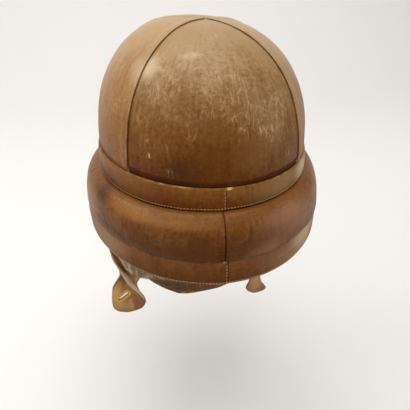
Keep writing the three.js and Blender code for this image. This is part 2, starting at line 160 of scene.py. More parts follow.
class Graph:
    """The node tree of one material, with a method for each kind of pattern."""

    def __init__(self, name: str) -> None:
        """Makes a material with an empty node tree.

        Args:
            name: the material's name.
        """
        self.material = bpy.data.materials.new(name)
        self.material.use_nodes = True
        self.tree = self.material.node_tree
        self.tree.nodes.clear()
        self.place = self.node("ShaderNodeTexCoord", {}, {}, "Object")

    def node(self, kind: str, settings: dict, values: dict, output: int | str = 0) -> Wire:
        """Adds a node, sets it and feeds its sockets.

        Args:
            kind: the node's type.
            settings: attributes set first, such as an operation, or a ramp's stops.
            values: for each input socket, by index or name, a wire or a constant.
            output: which output socket to return.

        Returns:
            The chosen output.
        """
        node = self.tree.nodes.new(kind)
        for key, value in settings.items():
            if key == "stops":
                self.set_stops(node.color_ramp, value)
            else:
                setattr(node, key, value)
        for key, value in values.items():
            self.feed(node.inputs[key], value)
        return Wire(self, node.outputs[output])

    def feed(self, socket: bpy.types.NodeSocket, value: Term) -> None:
        """Links a wire to a socket, or sets the socket to a constant."""
        if isinstance(value, Wire):
            self.tree.links.new(value.socket, socket)
        elif socket.type == "RGBA":
            socket.default_value = (*value, 1.0)
        else:
            socket.default_value = value

    @staticmethod
    def set_stops(ramp: bpy.types.ColorRamp, stops: Sequence[tuple[float, Colour]]) -> None:
        """Gives a colour ramp its stops."""
        while len(ramp.elements) < len(stops):
            ramp.elements.new(0.5)
        for element, (position, colour) in zip(ramp.elements, stops):
            element.position = position
            element.color = (*colour, 1.0)

    def maths(self, operation: str, first: Term, second: Term) -> Wire:
        """Returns the result of one Math node on two values."""
        return self.node("ShaderNodeMath", {"operation": operation}, {0: first, 1: second})

    def mix(self, share: Term, first: Term, second: Term) -> Wire:
        """Returns a mix of two colours."""
        settings = {"data_type": "RGBA", "clamp_factor": True}
        return self.node("ShaderNodeMix", settings, {0: share, 6: first, 7: second}, 2)

    def shade(self, share: Term, colour: Term, tint: Term) -> Wire:
        """Returns a colour multiplied by a tint as far as share says."""
        settings = {"data_type": "RGBA", "blend_type": "MULTIPLY", "clamp_factor": True}
        return self.node("ShaderNodeMix", settings, {0: share, 6: colour, 7: tint}, 2)

    def ramp(self, value: Term, stops: Sequence[tuple[float, Colour]]) -> Wire:
        """Returns a colour read from stops at a value."""
        return self.node("ShaderNodeValToRGB", {"stops": stops}, {0: value}, 0)

    def vector(self, operation: str, first: Term, second: Term) -> Wire:
        """Returns the result of one Vector Math node on two vectors."""
        return self.node("ShaderNodeVectorMath", {"operation": operation}, {0: first, 1: second})

    def stretched(self, factors: tuple[float, float, float]) -> Wire:
        """Returns the object's coordinates, each axis multiplied by its factor."""
        return self.vector("MULTIPLY", self.place, factors)

    def noise(self, scale: float, detail: float = 4.0, place: Wire | None = None,
              roughness: float = 0.55) -> Wire:
        """Returns cloudy noise from 0 to 1.

        Args:
            scale: bumps per metre.
            detail: how many finer layers it has.
            place: where it is read, the object's coordinates if left out.
            roughness: how strong the finer layers are.

        Returns:
            The noise value.
        """
        values = {"Vector": place or self.place, "Scale": scale, "Detail": detail,
                  "Roughness": roughness}
        return self.node("ShaderNodeTexNoise", {}, values, 0)

    def swing(self, scale: float, detail: float, place: Wire | None = None,
              roughness: float = 0.55) -> Wire:
        """Returns the same noise from -0.5 to 0.5."""
        return self.noise(scale, detail, place, roughness) - 0.5

    def warped(self, scale: float, reach: float, place: Wire | None = None) -> Wire:
        """Returns coordinates pushed about by noise.

        Args:
            scale: bumps per metre of the noise.
            reach: how far a point moves, in metres.
            place: the coordinates that are pushed.

        Returns:
            The new coordinates.
        """
        start = place or self.place
        values = {"Vector": start, "Scale": scale, "Detail": 2.0}
        clouds = self.node("ShaderNodeTexNoise", {}, values, 1)
        centred = self.vector("SUBTRACT", clouds, (0.5, 0.5, 0.5))
        pushed = self.vector("MULTIPLY", centred, (reach, reach, reach))
        return self.vector("ADD", start, pushed)

    def cracks(self, scale: float, width: float, place: Wire) -> Wire:
        """Returns 1 on the lines of a net of cracks and 0 between them.

        Args:
            scale: cells per metre.
            width: line width as a share of a cell.
            place: where the net is read.

        Returns:
            The line mask.
        """
        values = {"Vector": place, "Scale": scale}
        edge = self.node("ShaderNodeTexVoronoi", {"feature": "DISTANCE_TO_EDGE"}, values, 0)
        return 1 - edge.rise(0.0, width)

    def cells(self, scale: float, place: Wire | None = None) -> Wire:
        """Returns the distance to the nearest cell centre, for grain and pores."""
        values = {"Vector": place or self.place, "Scale": scale}
        return self.node("ShaderNodeTexVoronoi", {"feature": "F1"}, values, 0)

    def along_surface(self, span: tuple[float, float], stretch: float) -> Wire:
        """Returns the piece's own UV coordinates in metres, drawn out across the piece.

        Args:
            span: how long and how wide the piece is, in metres.
            stretch: how little a pattern changes across it, from 0 to 1.

        Returns:
            The coordinates.
        """
        coordinates = self.node("ShaderNodeUVMap", {"uv_map": UV_NAME}, {}, 0)
        return self.vector("MULTIPLY", coordinates, (span[0], span[1] * stretch, 1.0))

    def axis(self, index: int) -> Wire:
        """Returns one of the object's coordinates, in metres."""
        return self.node("ShaderNodeSeparateXYZ", {}, {0: self.place}, index)

    def spot(self, centre: Vector, radii: Vector, softness: float, wobble: float = 0.0) -> Wire:
        """Returns a soft patch round a place.

        Args:
            centre: its middle, in metres.
            radii: its half sizes along X, Y and Z, in metres.
            softness: share of the radius over which it fades.
            wobble: how far noise pushes its edge, in metres.

        Returns:
            1 inside the patch and 0 outside.
        """
        start = self.warped(140.0, wobble) if wobble else self.place
        off = self.vector("SUBTRACT", start, tuple(centre))
        scaled = self.vector("DIVIDE", off, tuple(radii))
        reach = self.node("ShaderNodeVectorMath", {"operation": "LENGTH"}, {0: scaled}, 1)
        return 1 - reach.rise(1 - softness, 1.0)

    def finish(self, shader: dict, height: Wire | None = None,
               depth: float = 0.0) -> bpy.types.Material:
        """Adds the surface shader.

        Args:
            shader: its sockets by name, wires or constants.
            height: bump height, 0 to 1.
            depth: bump depth in metres.

        Returns:
            The finished material.
        """
        if height is not None:
            values = {"Strength": 1.0, "Distance": depth, "Height": height}
            shader = {**shader, "Normal": self.node("ShaderNodeBump", {}, values, 0)}
        surface = self.node("ShaderNodeBsdfPrincipled", {}, shader, 0)
        output = self.tree.nodes.new("ShaderNodeOutputMaterial")
        self.tree.links.new(surface.socket, output.inputs[0])
        return self.material

    def surface_share(self, index: int) -> Wire:
        """Returns the piece's own UV coordinate: 0 runs along it and 1 runs across it."""
        coordinates = self.node("ShaderNodeUVMap", {"uv_map": UV_NAME}, {}, 0)
        return self.node("ShaderNodeSeparateXYZ", {}, {0: coordinates}, index)


# Finishes

# How fine each pattern in the leather is, in bumps or cells per metre
CLOUDS = 16.0
CRAZED_AREAS = 34.0
BLOTCHES = 62.0
CRUMPLES = 150.0
STREAKS = 260.0
SPECKS = 330.0
FINE_GRAIN = 900.0
PORES = 1500.0
# The tint that painted shade in the seams and grooves multiplies the colour by
PAINTED_SHADE_TINT: Colour = (0.25, 0.16, 0.09)
LEATHER_SHINE = {
    "Coat Roughness": 0.3,
    "Specular IOR Level": 0.12,
    "Specular Tint": (1.0, 0.74, 0.42),
}


@dataclass(frozen=True)
class Patch:
    """A patch of colour on a finish, in millimetres. Most are stains, scuffs and worn places; some
    are painted highlights, painted reflections and painted shade.
    """

    place: tuple[float, float, float]
    radii: tuple[float, float, float]
    colour: Colour
    strength: float
    softness: float = 0.8
    wobble: float = 6.0

    def mask(self, graph: Graph) -> Wire:
        """Returns how strongly the patch covers each point."""
        area = graph.spot(mm_vector(*self.place), mm_vector(*self.radii), self.softness,
                          mm(self.wobble))
        return area * self.strength


def crazed_area(place: tuple[float, float, float], radii: tuple[float, float, float],
                strength: float) -> Patch:
    """Returns an area with more cracks than the rest. Its colour isn't used."""
    return Patch(place, radii, (1.0, 1.0, 1.0), strength, 1.0)


@dataclass(frozen=True)
class Leather:
    """Old, glazed leather whose tone falls from a light top to a dark foot, partly from wear and
    partly as painted light from above.
    """

    name: str
    light: Colour
    middle: Colour
    dark: Colour
    crack: Colour
    top_level: float
    foot_level: float
    cracking: float = 0.5
    crack_cells: float = 95.0
    streaks: float = 0.2
    roughness: float = 0.42
    coat: float = 0.25
    edge_wear: float = 0.0
    seam_shade: float = 0.0
    mottle: float = 0.7
    lip_highlight: float = 0.0
    groove: tuple[float, float] = (0.0, 0.0)
    groove_reach: float = 0.03
    outer_share: float = 1.0
    seam_at: float | None = None
    relief: float = 0.4
    span: tuple[float, float] = (0.17, 0.2)
    patches: tuple[Patch, ...] = ()
    crazed: tuple[Patch, ...] = ()

    def material(self) -> bpy.types.Material:
        """Builds the material: tone, patches, cracks, wear, a painted lip highlight, painted shade
        in seams and grooves, grain and gloss.
        """
        graph = Graph(self.name)
        span = mm(self.top_level - self.foot_level)
        level = (graph.axis(2) - mm(self.foot_level)) / span
        cloud = graph.swing(CLOUDS, 3.0)
        blotch = graph.swing(BLOTCHES, 5.0)
        speck = graph.swing(SPECKS, 4.0, None, 0.7)
        streak = graph.swing(STREAKS, 3.0, graph.along_surface(self.span, 0.1), 0.6)
        crumple = graph.swing(CRUMPLES, 4.0, graph.warped(60.0, mm(14)), 0.65)
        # The rise in tone from the foot to the top is partly painted light: the top lit from above,
        # the foot in shade
        tone = level + cloud * self.mottle + blotch * (self.mottle * 0.8)
        tone = tone + speck + streak * 0.6 + crumple * 0.35
        colour = graph.ramp(tone, ((0.0, self.dark), (0.45, self.middle), (1.0, self.light)))
        for patch in self.patches:
            colour = graph.mix(patch.mask(graph), colour, patch.colour)
        lines = self.crack_lines(graph, level)
        colour = graph.mix(lines * 0.7, colour, self.crack)
        # Pale wear along the edges, and a painted highlight on folded lips
        wear_and_highlight = self.worn_edges_and_lip_highlight(graph)
        colour = graph.mix(wear_and_highlight, colour, self.crack)
        # Painted shade in the seams and in the grooves at the top and the foot: darker, rougher and
        # with less coat
        painted_shade = self.shaded_seams(graph)
        colour = graph.shade(painted_shade, colour, PAINTED_SHADE_TINT)
        gloss = self.roughness + blotch * 0.22 + speck * 0.15 + lines * 0.12
        gloss = gloss + wear_and_highlight * 0.2 + painted_shade * 0.4
        grain = graph.cells(PORES).rise(0.1, 0.6) * 0.35 + graph.noise(FINE_GRAIN, 2.0) * 0.3
        height = grain * 0.6 - lines * 0.4 + crumple * 1.4 + speck * 0.8
        shader = {
            "Base Color": colour,
            "Roughness": gloss,
            "Coat Weight": (level.rise(0.0, 1.0) * 0.9 + 0.1) * (1 - painted_shade) * self.coat,
            **LEATHER_SHINE,
        }
        return graph.finish(shader, height, mm(self.relief))

    def crack_lines(self, graph: Graph, level: Wire) -> Wire:
        """Returns the pale craze lines: a broken net, a finer one and upright scratches."""
        cover = graph.noise(CRAZED_AREAS, 3.0) - (1 - level.rise(0.0, 0.6)) * 0.14
        for patch in self.crazed:
            cover = cover + patch.mask(graph) * 0.22
        cells = self.crack_cells
        coarse = graph.cracks(cells, 0.03, graph.warped(110.0, mm(9)))
        coarse = coarse * cover.rise(0.52, 0.72) * graph.noise(240.0, 2.0).rise(0.42, 0.6)
        fine = graph.cracks(cells * 2.6, 0.07, graph.warped(210.0, mm(5)))
        fine = fine * cover.rise(0.46, 0.72) * graph.noise(310.0, 2.0).rise(0.36, 0.62)
        along = graph.along_surface(self.span, 0.2)
        upright = graph.cracks(cells * 2.4, 0.09, graph.warped(140.0, mm(5), along))
        upright = upright * cover.rise(0.4, 0.66) * graph.noise(120.0, 3.0).rise(0.42, 0.58)
        nets = (coarse * 0.8).most(fine * 0.8).most(upright * self.streaks)
        return nets * self.cracking

    def worn_edges_and_lip_highlight(self, graph: Graph) -> Wire:
        """Returns the pale wear along both long edges of a strip, and the painted highlight on a
        folded lip.
        """
        across = graph.surface_share(1) / self.outer_share
        edge = (1 - across.rise(0.0, 0.08)).most(across.rise(0.92, 1.0))
        edge = edge * graph.noise(110.0, 4.0).rise(0.45, 0.7) * self.edge_wear
        along = graph.surface_share(0)
        # Painted highlight along a folded lip, where its edge catches the light
        lip = along.rise(0.002, 0.008) * (1 - along.rise(0.012, 0.03))
        far = 1 - along
        other = far.rise(0.002, 0.008) * (1 - far.rise(0.012, 0.03))
        return edge.most(lip.most(other) * graph.noise(90.0, 4.0).rise(0.35, 0.65) * self.lip_highlight)

    def shaded_seams(self, graph: Graph) -> Wire:
        """Returns the painted shade in the upright seams and in the grooves along the top and the
        foot.
        """
        along = graph.surface_share(0)
        across = graph.surface_share(1) / self.outer_share
        reach = self.groove_reach
        top = (1 - across.rise(0.3 * reach, reach)) * self.groove[0]
        foot = across.rise(1 - reach, 1 - 0.3 * reach) * self.groove[1]
        if self.seam_at is None:
            seams = (1 - along.rise(0.0, 0.012)).most(along.rise(0.988, 1.0))
        else:
            off = (along - self.seam_at).most(self.seam_at - along)
            seams = 1 - off.rise(0.0004, 0.0012)
        return (seams * self.seam_shade).most(top.most(foot))


@dataclass(frozen=True)
class Suede:
    """The unglazed flesh side, cut edges, felt and thread: matt and fibrous."""

    name: str
    light: Colour
    dark: Colour
    fibre: float = 700.0
    stretch: tuple[float, float, float] = (1.0, 1.0, 1.0)
    depth: float = 0.35
    stains: float = 0.0

    def material(self) -> bpy.types.Material:
        """Builds the material."""
        graph = Graph(self.name)
        fibres = graph.noise(self.fibre, 4.0, graph.stretched(self.stretch), 0.7)
        cloud = graph.noise(60.0, 3.0)
        share = fibres * 0.7 + cloud * 0.5 - 0.1
        share = share - graph.noise(150.0, 3.0).rise(0.4, 0.62) * self.stains
        colour = graph.mix(share, self.dark, self.light)
        shader = {"Base Color": colour, "Roughness": 0.92, "Sheen Weight": 0.25}
        return graph.finish(shader, fibres, mm(self.depth))


@dataclass(frozen=True)
class Matt:
    """A plain painted surface for the studio."""

    name: str
    colour: Colour

    def material(self) -> bpy.types.Material:
        """Builds the material."""
        return Graph(self.name).finish({"Base Color": self.colour, "Roughness": 0.9})


class Finish(Enum):
    """Which finish a piece or a part of it takes."""

    CROWN = Leather(
        "crown_leather", srgb(0xA6855A), srgb(0x7C501E), srgb(0x5E2C03), srgb(0xD2B084),
        top_level=-8, foot_level=-104, cracking=0.8, streaks=0.9, seam_shade=0.6, coat=0.42,
        mottle=0.42, outer_share=0.9, groove=(0.0, 0.7), groove_reach=0.02,
        patches=(
            Patch((31.6, 110.5, -92), (26, 30, 17), srgb(0x3E2008), 0.6),
            Patch((4, 114, -84), (40, 34, 26), srgb(0x5E350F), 0.45),
            # Painted highlight of the window light on the left shoulder
            Patch((49, 66, -23), (14, 16, 16), srgb(0xD6BF9C), 0.65),
            Patch((6, 109, -53), (24, 16, 22), srgb(0x6C441A), 0.35),
            Patch((53.7, 96, -83.5), (0.8, 4, 3.2), srgb(0xD8B47C), 0.8, 0.7, 1.0),
            # Painted highlight of the overhead light near the top
            Patch((19, 75, -14), (12, 8, 4), srgb(0xD3BE98), 0.35),
            Patch((-41, 100, -64), (18, 16, 26), srgb(0x8A6438), 0.35),
            Patch((-24, 112, -82), (22, 14, 20), srgb(0x7A522A), 0.4),
            Patch((-20, 96, -44), (26, 20, 22), srgb(0x856340), 0.3),
        ),
        crazed=(
            crazed_area((6, 94, -32), (40, 26, 28), 1.2),
            crazed_area((-42, 99, -64), (20, 18, 26), 1.3),
            crazed_area((44, 86, -44), (22, 20, 26), 0.3),
            crazed_area((-45, 90, -58), (16, 20, 34), 1.5),
        ),
    )
    CROWN_SIDE = Leather(
        "crown_side_leather", srgb(0xB08D62), srgb(0x936534), srgb(0x764412), srgb(0xD6B58A),
        top_level=-8, foot_level=-112, cracking=0.7, streaks=0.5, seam_shade=0.35, coat=0.42,
        lip_highlight=0.4, span=(0.14, 0.2), mottle=0.45, outer_share=0.9, groove=(0.0, 0.7),
        groove_reach=0.02,
        patches=(
            # Painted highlight of the window light on the left shoulder, across the seam
            Patch((57, 60, -27), (12, 16, 17), srgb(0xC9AE8A), 0.45),
            Patch((-80, 48, -64), (22, 30, 34), srgb(0x82603C), 0.4),
        ),
        crazed=(
            crazed_area((80, 45, -60), (24, 34, 34), 0.7),
        ),
    )
    BAND = Leather(
        "band_leather", srgb(0x8B5A26), srgb(0x693704), srgb(0x4C2604), srgb(0xC39A68),
        top_level=-100, foot_level=-128, cracking=0.35, crack_cells=150, edge_wear=0.75,
        span=(0.7, 0.04), coat=0.15, outer_share=17 / 22, mottle=0.5, seam_at=-0.0033,
        seam_shade=0.8,
        patches=(
            Patch((-4.2, 118.9, -104.9), (4.2, 5, 1.5), srgb(0xD8BC84), 0.9, 0.6, 3.0),
            Patch((-2.0, 119.0, -109), (1.1, 4, 1.3), srgb(0x1E1008), 0.9, 0.5, 0.6),
            # Painted reflection: this patch and the next lighten the band's right side
            Patch((-50, 100, -114), (50, 40, 16), srgb(0x8A6A3E), 0.6),
            Patch((-88, 45, -114), (26, 44, 16), srgb(0xA8875C), 0.6),
            Patch((60, 92, -112), (50, 40, 14), srgb(0x6C3E0E), 0.4),
            # Painted reflection on the band's right side
            Patch((-78, 73, -114), (22, 26, 14), srgb(0xC2A480), 0.75),
        ),
    )
    ROLL = Leather(
        "roll_leather", srgb(0x7E4E1E), srgb(0x592C00), srgb(0x4A2402), srgb(0xC0905C),
        top_level=-124, foot_level=-166, cracking=0.4, crack_cells=120, mottle=0.55, coat=0.35,
        roughness=0.42, span=(0.75, 0.1), outer_share=63 / 70, groove=(0.0, 1.0), seam_at=0.0006,
        seam_shade=0.8,
        patches=(
            Patch((93, 62, -130), (16, 18, 13), srgb(0x43271F), 0.75),
            # Painted highlight along the top of the roll on its left
            Patch((66, 98, -131), (50, 46, 8), srgb(0xA06C34), 0.55),
            # Painted light on the roll's left side
            Patch((104, 30, -150), (16, 50, 26), srgb(0xA07850), 0.6),
            # Painted highlight along the top of the roll at the back
            Patch((28, 120, -131), (34, 20, 6), srgb(0x96622E), 0.6),
            # Painted reflection on the roll's right half
            Patch((-62, 104, -140), (56, 44, 24), srgb(0x946340), 0.55),
            # Painted shade on the lower face of the roll, which turns away from the light
            Patch((34, 128, -156), (46, 24, 14), srgb(0x522800), 0.55),
            Patch((-36, 126, -156), (30, 20, 12), srgb(0x8A5C38), 0.6),
        ),
    )
    RIM = Leather(
        "rim_leather", srgb(0x80502A), srgb(0x65360C), srgb(0x4C2708), srgb(0xBC9464),
        top_level=-156, foot_level=-188, cracking=0.35, crack_cells=150, edge_wear=0.75,
        span=(0.75, 0.04), coat=0.15, outer_share=17 / 22, mottle=0.5, groove=(1.0, 0.0),
        groove_reach=0.04, seam_at=-0.0033, seam_shade=0.8,
        patches=(
            Patch((-1.5, 131, -184.5), (2.2, 5, 1.2), srgb(0xDDB877), 0.85, 0.5, 1.5),
            Patch((0.5, 130, -163.4), (2.0, 5, 1.0), srgb(0xCBA76C), 0.8, 0.5, 1.5),
            # Painted reflection on the rim's right side
            Patch((-66, 98, -174), (62, 62, 18), srgb(0x946C46), 0.65),
            # Painted light on the rim's left side
            Patch((92, 74, -170), (30, 50, 18), srgb(0x94704E), 0.6),
            # Painted reflection on the rim's right side
            Patch((-76, 94, -166), (26, 30, 16), srgb(0xBE9C74), 0.7),
        ),
    )
    CURTAIN = Leather(
        "curtain_leather", srgb(0x8C6038), srgb(0x68401F), srgb(0x402413), srgb(0xC9A276),
        top_level=-168, foot_level=-232, cracking=0.5, crack_cells=140, roughness=0.55,
        coat=0.1, mottle=1.1, edge_wear=1.0, outer_share=0.985, span=(0.15, 0.05),
    )
    FLAP = Leather(
        "flap_leather", srgb(0xC2975F), srgb(0xA07038), srgb(0x6E4826), srgb(0xDCC39A),
        top_level=-180, foot_level=-325, cracking=0.35, crack_cells=170, roughness=0.5,
        coat=0.12, mottle=0.9, span=(0.05, 0.15),
        patches=(
            Patch((96, 20, -272), (13, 16, 34), srgb(0xD0A468), 0.8, 0.9),
            Patch((88, 20, -292), (16, 16, 12), srgb(0xC49A62), 0.5, 0.9),
            Patch((68, 26, -286), (16, 16, 20), srgb(0x7E5438), 0.8, 0.9),
            Patch((79, 24, -288), (5, 10, 12), srgb(0xC09880), 0.6, 0.9),
            Patch((86, 22, -256), (5, 10, 9), srgb(0x7A5026), 0.6, 0.9),
            # Painted shade in the hollow of the left flap above its waist
            Patch((80, 8, -216), (15, 20, 42), srgb(0x5A3A1E), 0.5, 0.9),
            Patch((70, 46, -240), (7, 16, 14), srgb(0xB48A54), 0.7, 0.9),
            Patch((-57, 27, -268), (14, 16, 30), srgb(0xB08C60), 0.7, 0.9),
            Patch((-69, 20, -285), (6, 10, 9), srgb(0x8C6858), 0.6, 0.9),
        ),
    )
    FLAP_EDGE = Suede("flap_edge", srgb(0x8A6A4C), srgb(0x573E2A), 900, depth=0.2)
    LINING = Suede("flap_lining", srgb(0xD0B596), srgb(0x9C7A5A), 500, (1.0, 1.0, 0.3), 0.25)
    FLESH = Suede("flesh_side", srgb(0xA88C68), srgb(0x6E5238))
    EDGE = Suede("cut_edge", srgb(0xCBB48F), srgb(0x8E7350), 900, depth=0.2)
    FELT = Suede("felt", srgb(0xD2B88E), srgb(0x664626), 420, depth=0.6, stains=0.5)
    THREAD = Suede("pale_thread", srgb(0xE0C496), srgb(0xA88254), 2600, depth=0.08)
    GOLD_THREAD = Suede("golden_thread", srgb(0xF0C468), srgb(0xB98A34), 2600, depth=0.08)
    FLOOR = Matt("floor_paint", (0.855, 0.845, 0.83))


MATERIALS: dict[Finish, bpy.types.Material] = {}


def material_of(finish: Finish) -> bpy.types.Material:
    """Returns a finish's material, made the first time that it is asked for."""
    if finish not in MATERIALS:
        MATERIALS[finish] = finish.value.material()
    return MATERIALS[finish]


# Shapes

@dataclass(frozen=True)
class Ring:
    """A level ring round the helmet, in millimetres. tilt raises the back, roll the left side."""

    half_width: float
    half_length: float
    height: float
    tilt: float = 0.0
    roll: float = 0.0

    def at(self, turn: float, out: float = 0.0, up: float = 0.0) -> Vector:
        """Returns a point of the ring in metres.

        Args:
            turn: angle from the middle of the back towards the wearer's left, in radians.
            out: how far outside the ring, in millimetres.
            up: how far above it, in millimetres.

        Returns:
            The point.
        """
        side, back = math.sin(turn), math.cos(turn)
        return mm_vector(
            (self.half_width + out) * side,
            (self.half_length + out) * back,
            self.height + self.tilt * back + self.roll * side + up - ORIGIN_DROP,
        )

    def toward(self, other: "Ring", share: float, width_share: float | None = None) -> "Ring":
        """Returns a ring between this one and another.

        Args:
            other: the ring at a share of 1.
            share: how far down it lies.
            width_share: how far out it lies, the same as share if left out.

        Returns:
            The ring between.
        """
        out = share if width_share is None else width_share
        return Ring(
            blend(self.half_width, other.half_width, out),
            blend(self.half_length, other.half_length, out),
            blend(self.height, other.height, share),
            blend(self.tilt, other.tilt, share),
            blend(self.roll, other.roll, share),
        )

    def resized(self, half_width: float, half_length: float) -> "Ring":
        """Returns the ring at the same level with other half sizes."""
        return Ring(half_width, half_length, self.height, self.tilt, self.roll)


ORIGIN_DROP = 105.28  # mm from the crown band's top edge up to the origin
BAND_TOP = Ring(97.4, 118.7, 0.0, 0.9, 1.2)
BAND_FOOT = Ring(98.2, 119.8, -18.1, 0.2, -1.3)
ROLL_WIDEST = Ring(112.6, 134.6, -43.0, -3.0, -0.6)
RIM_TOP = Ring(112.2, 130.5, -51.8, -5.4, -0.3)
RIM_FOOT = Ring(111.5, 131.5, -72.9, -6.4, -0.3)
BACKING = (
    min(RIM_TOP.half_width, RIM_FOOT.half_width),
    min(RIM_TOP.half_length, RIM_FOOT.half_length),
)
HOLLOW_TOP = (93.4, 114.7)
HOLLOW_FOOT = (99.5, 119.5)


@dataclass(frozen=True)
class CrownForm:
    """The crown's outer surface, in millimetres, with the place where its seams meet."""

    half_width: float = 96.4
    half_length: float = 117.7
    height: float = 110.0
    outline_power: float = 2.34
    height_power: float = 2.41
    dimple: float = 1.72
    dimple_reach: float = 0.31
    shift_back: float = 3.1
    left_rise: float = 3.87
    junction: tuple[float, float] = (-3.9, 4.5)
    seam_bow: float = 3.9
    tuck: float = 0.9

    def share_of(self, x: float, y: float) -> float:
        """Returns how far out a plan place lies, 0 in the middle and 1 at the band."""
        return min(math.hypot(x / self.half_width, y / self.half_length), 1.0)

    def point(self, turn: float, reach: float, sideways: float = 0.0, drop: float = 0.0) -> Vector:
        """Returns a point of the outer surface in metres.

        Args:
            turn: angle from the middle of the back, in radians.
            reach: 0 at the seam junction and 1 at the band.
            sideways: shift along the seam's normal in plan, in millimetres.
            drop: how far straight down from there, in millimetres.

        Returns:
            The point.
        """
        foot_x, foot_y = self.half_width * math.sin(turn), self.half_length * math.cos(turn)
        along = Vector((foot_x - self.junction[0], foot_y - self.junction[1]))
        across = Vector((along.y, -along.x)).normalized() * sideways
        bow = self.seam_bow * 4 * reach * (1 - reach) * math.sin(turn)
        x = self.junction[0] + along.x * reach + across.x - bow
        y = self.junction[1] + along.y * reach + across.y
        share = self.share_of(x, y)
        dome = (1 - share ** self.outline_power) ** (1 / self.height_power)
        side = x / self.half_width
        z = self.height * dome - self.dimple * math.exp(-share / self.dimple_reach)
        z += self.left_rise * side * (1 - share * share)
        z += BAND_TOP.tilt * y / self.half_length + BAND_TOP.roll * side
        return mm_vector(x, y + self.shift_back * (1 - share), z - drop - ORIGIN_DROP)


CROWN = CrownForm()


class Mesh:
    """Collects a piece's shape in a bmesh and turns it into an object that rides on the body."""

    STEPS_EACH = 12

    def __init__(self, name: str) -> None:
        """Starts an empty shape with a UV layer."""
        self.name = name
        self.bm = bmesh.new()
        self.uv = self.bm.loops.layers.uv.new(UV_NAME)

    def add_grid(self, columns: int, rows: int, place: Callable[[float, float], Vector]) -> None:
        """Adds a sheet.

        Args:
            columns: faces along it.
            rows: faces across it.
            place: where a point at a share along and a share across goes, in metres.
        """
        bmesh.ops.create_grid(self.bm, x_segments=columns, y_segments=rows, size=0.5, calc_uvs=True)
        for vertex in self.bm.verts:
            along, across = vertex.co.x + 0.5, vertex.co.y + 0.5
            vertex.co = place(min(max(along, 0.0), 1.0), min(max(across, 0.0), 1.0))

    def add_ring(self, points: int, steps: int, place: Callable[[float, int], Vector]) -> None:
        """Spins a closed section round the helmet.

        Args:
            points: how many points the section has.
            steps: how many sections there are round the ring.
            place: where a point of the section goes at a turn, in metres.
        """
        chain = [self.bm.verts.new((0.0, 1.0, float(i))) for i in range(points)]
        edges = [self.bm.edges.new((chain[i], chain[(i + 1) % points])) for i in range(points)]
        bmesh.ops.spin(self.bm, geom=chain + edges, cent=(0, 0, 0), axis=(0, 0, 1), dvec=(0, 0, 0),
                       angle=2 * math.pi, steps=steps // self.STEPS_EACH, use_merge=True,
                       use_duplicate=False)
        round_edges = [e for e in self.bm.edges if abs(e.verts[0].co.z - e.verts[1].co.z) < 0.5]
        bmesh.ops.subdivide_edges(self.bm, edges=round_edges, cuts=self.STEPS_EACH - 1,
                                  use_grid_fill=True)
        self.bm.verts.ensure_lookup_table()
        turns = {v: (math.atan2(v.co.x, v.co.y), round(v.co.z)) for v in self.bm.verts}
        for face in self.bm.faces:
            centre = face.calc_center_median()
            middle = math.atan2(centre.x, centre.y)
            last = max(turns[v][1] for v in face.verts) == points - 1
            for loop in face.loops:
                turn, index = turns[loop.vert]
                turn = middle + math.remainder(turn - middle, 2 * math.pi)
                index = points if last and index == 0 else index
                loop[self.uv].uv = (turn / (2 * math.pi), index / points)
        for vertex, (turn, index) in turns.items():
            vertex.co = place(turn, index)

    def add_copy(self, pattern: bpy.types.Mesh, matrix: Matrix) -> None:
        """Adds a pattern's shape, moved by a matrix."""
        pattern.transform(matrix)
        self.bm.from_mesh(pattern)
        pattern.transform(matrix.inverted())

    def pattern(self) -> bpy.types.Mesh:
        """Turns the shape into mesh data, for an object or as a pattern for add_copy."""
        data = bpy.data.meshes.new(self.name)
        self.bm.to_mesh(data)
        self.bm.free()
        return data

    def face_out(self, middle: Vector) -> None:
        """Turns the faces of an open sheet away from a place inside the helmet."""
        bmesh.ops.recalc_face_normals(self.bm, faces=self.bm.faces)
        outward = sum((f.calc_center_median() - middle).dot(f.normal) * f.calc_area()
                      for f in self.bm.faces)
        if outward < 0:
            bmesh.ops.reverse_faces(self.bm, faces=self.bm.faces)

    def face_back(self) -> None:
        """Turns the faces of an open sheet towards the back of the helmet."""
        bmesh.ops.recalc_face_normals(self.bm, faces=self.bm.faces)
        if sum(face.normal.y * face.calc_area() for face in self.bm.faces) < 0:
            bmesh.ops.reverse_faces(self.bm, faces=self.bm.faces)

    def close_out(self) -> None:
        """Turns the faces of a closed shape outwards."""
        bmesh.ops.recalc_face_normals(self.bm, faces=self.bm.faces)

    def tree(self) -> BVHTree:
        """Returns a search tree of the faces as they are now."""
        return BVHTree.FromBMesh(self.bm)

    def build(self, slot: str, finishes: Sequence[Finish]) -> bpy.types.Object:
        """Makes a piece of the helmet.

        Args:
            slot: the record's material slot; not used.
            finishes: the finishes of its material slots, in order.

        Returns:
            The piece, riding on the body.
        """
        piece = self.to_object(finishes)
        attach(piece, BODY)
        LOG.info("%s: %d faces", self.name, len(piece.data.polygons))
        return piece

    def to_object(self, finishes: Sequence[Finish]) -> bpy.types.Object:
        """Returns the shape as a smooth shaded object with its finishes."""
        mesh = self.pattern()
        mesh.polygons.foreach_set("use_smooth", [True] * len(mesh.polygons))
        made = bpy.data.objects.new(self.name, mesh)
        bpy.context.scene.collection.objects.link(made)
        for finish in finishes:
            mesh.materials.append(material_of(finish))
        return made


def thicken(piece: bpy.types.Object, wall: float, offset: float = -1.0, back: int = 1,
            rim: int = 2) -> None:
    """Gives a sheet its wall.

    Args:
        piece: the sheet.
        wall: thickness in millimetres.
        offset: -1 keeps the outer face where it is, 0 thickens to both sides.
        back: how many material slots further the back face's finish is.
        rim: the same for the cut edge.
    """
    modifier = piece.modifiers.new("wall", "SOLIDIFY")
    modifier.thickness = mm(wall)
    modifier.offset = offset
    modifier.material_offset = back
    modifier.material_offset_rim = rim


# Stitches

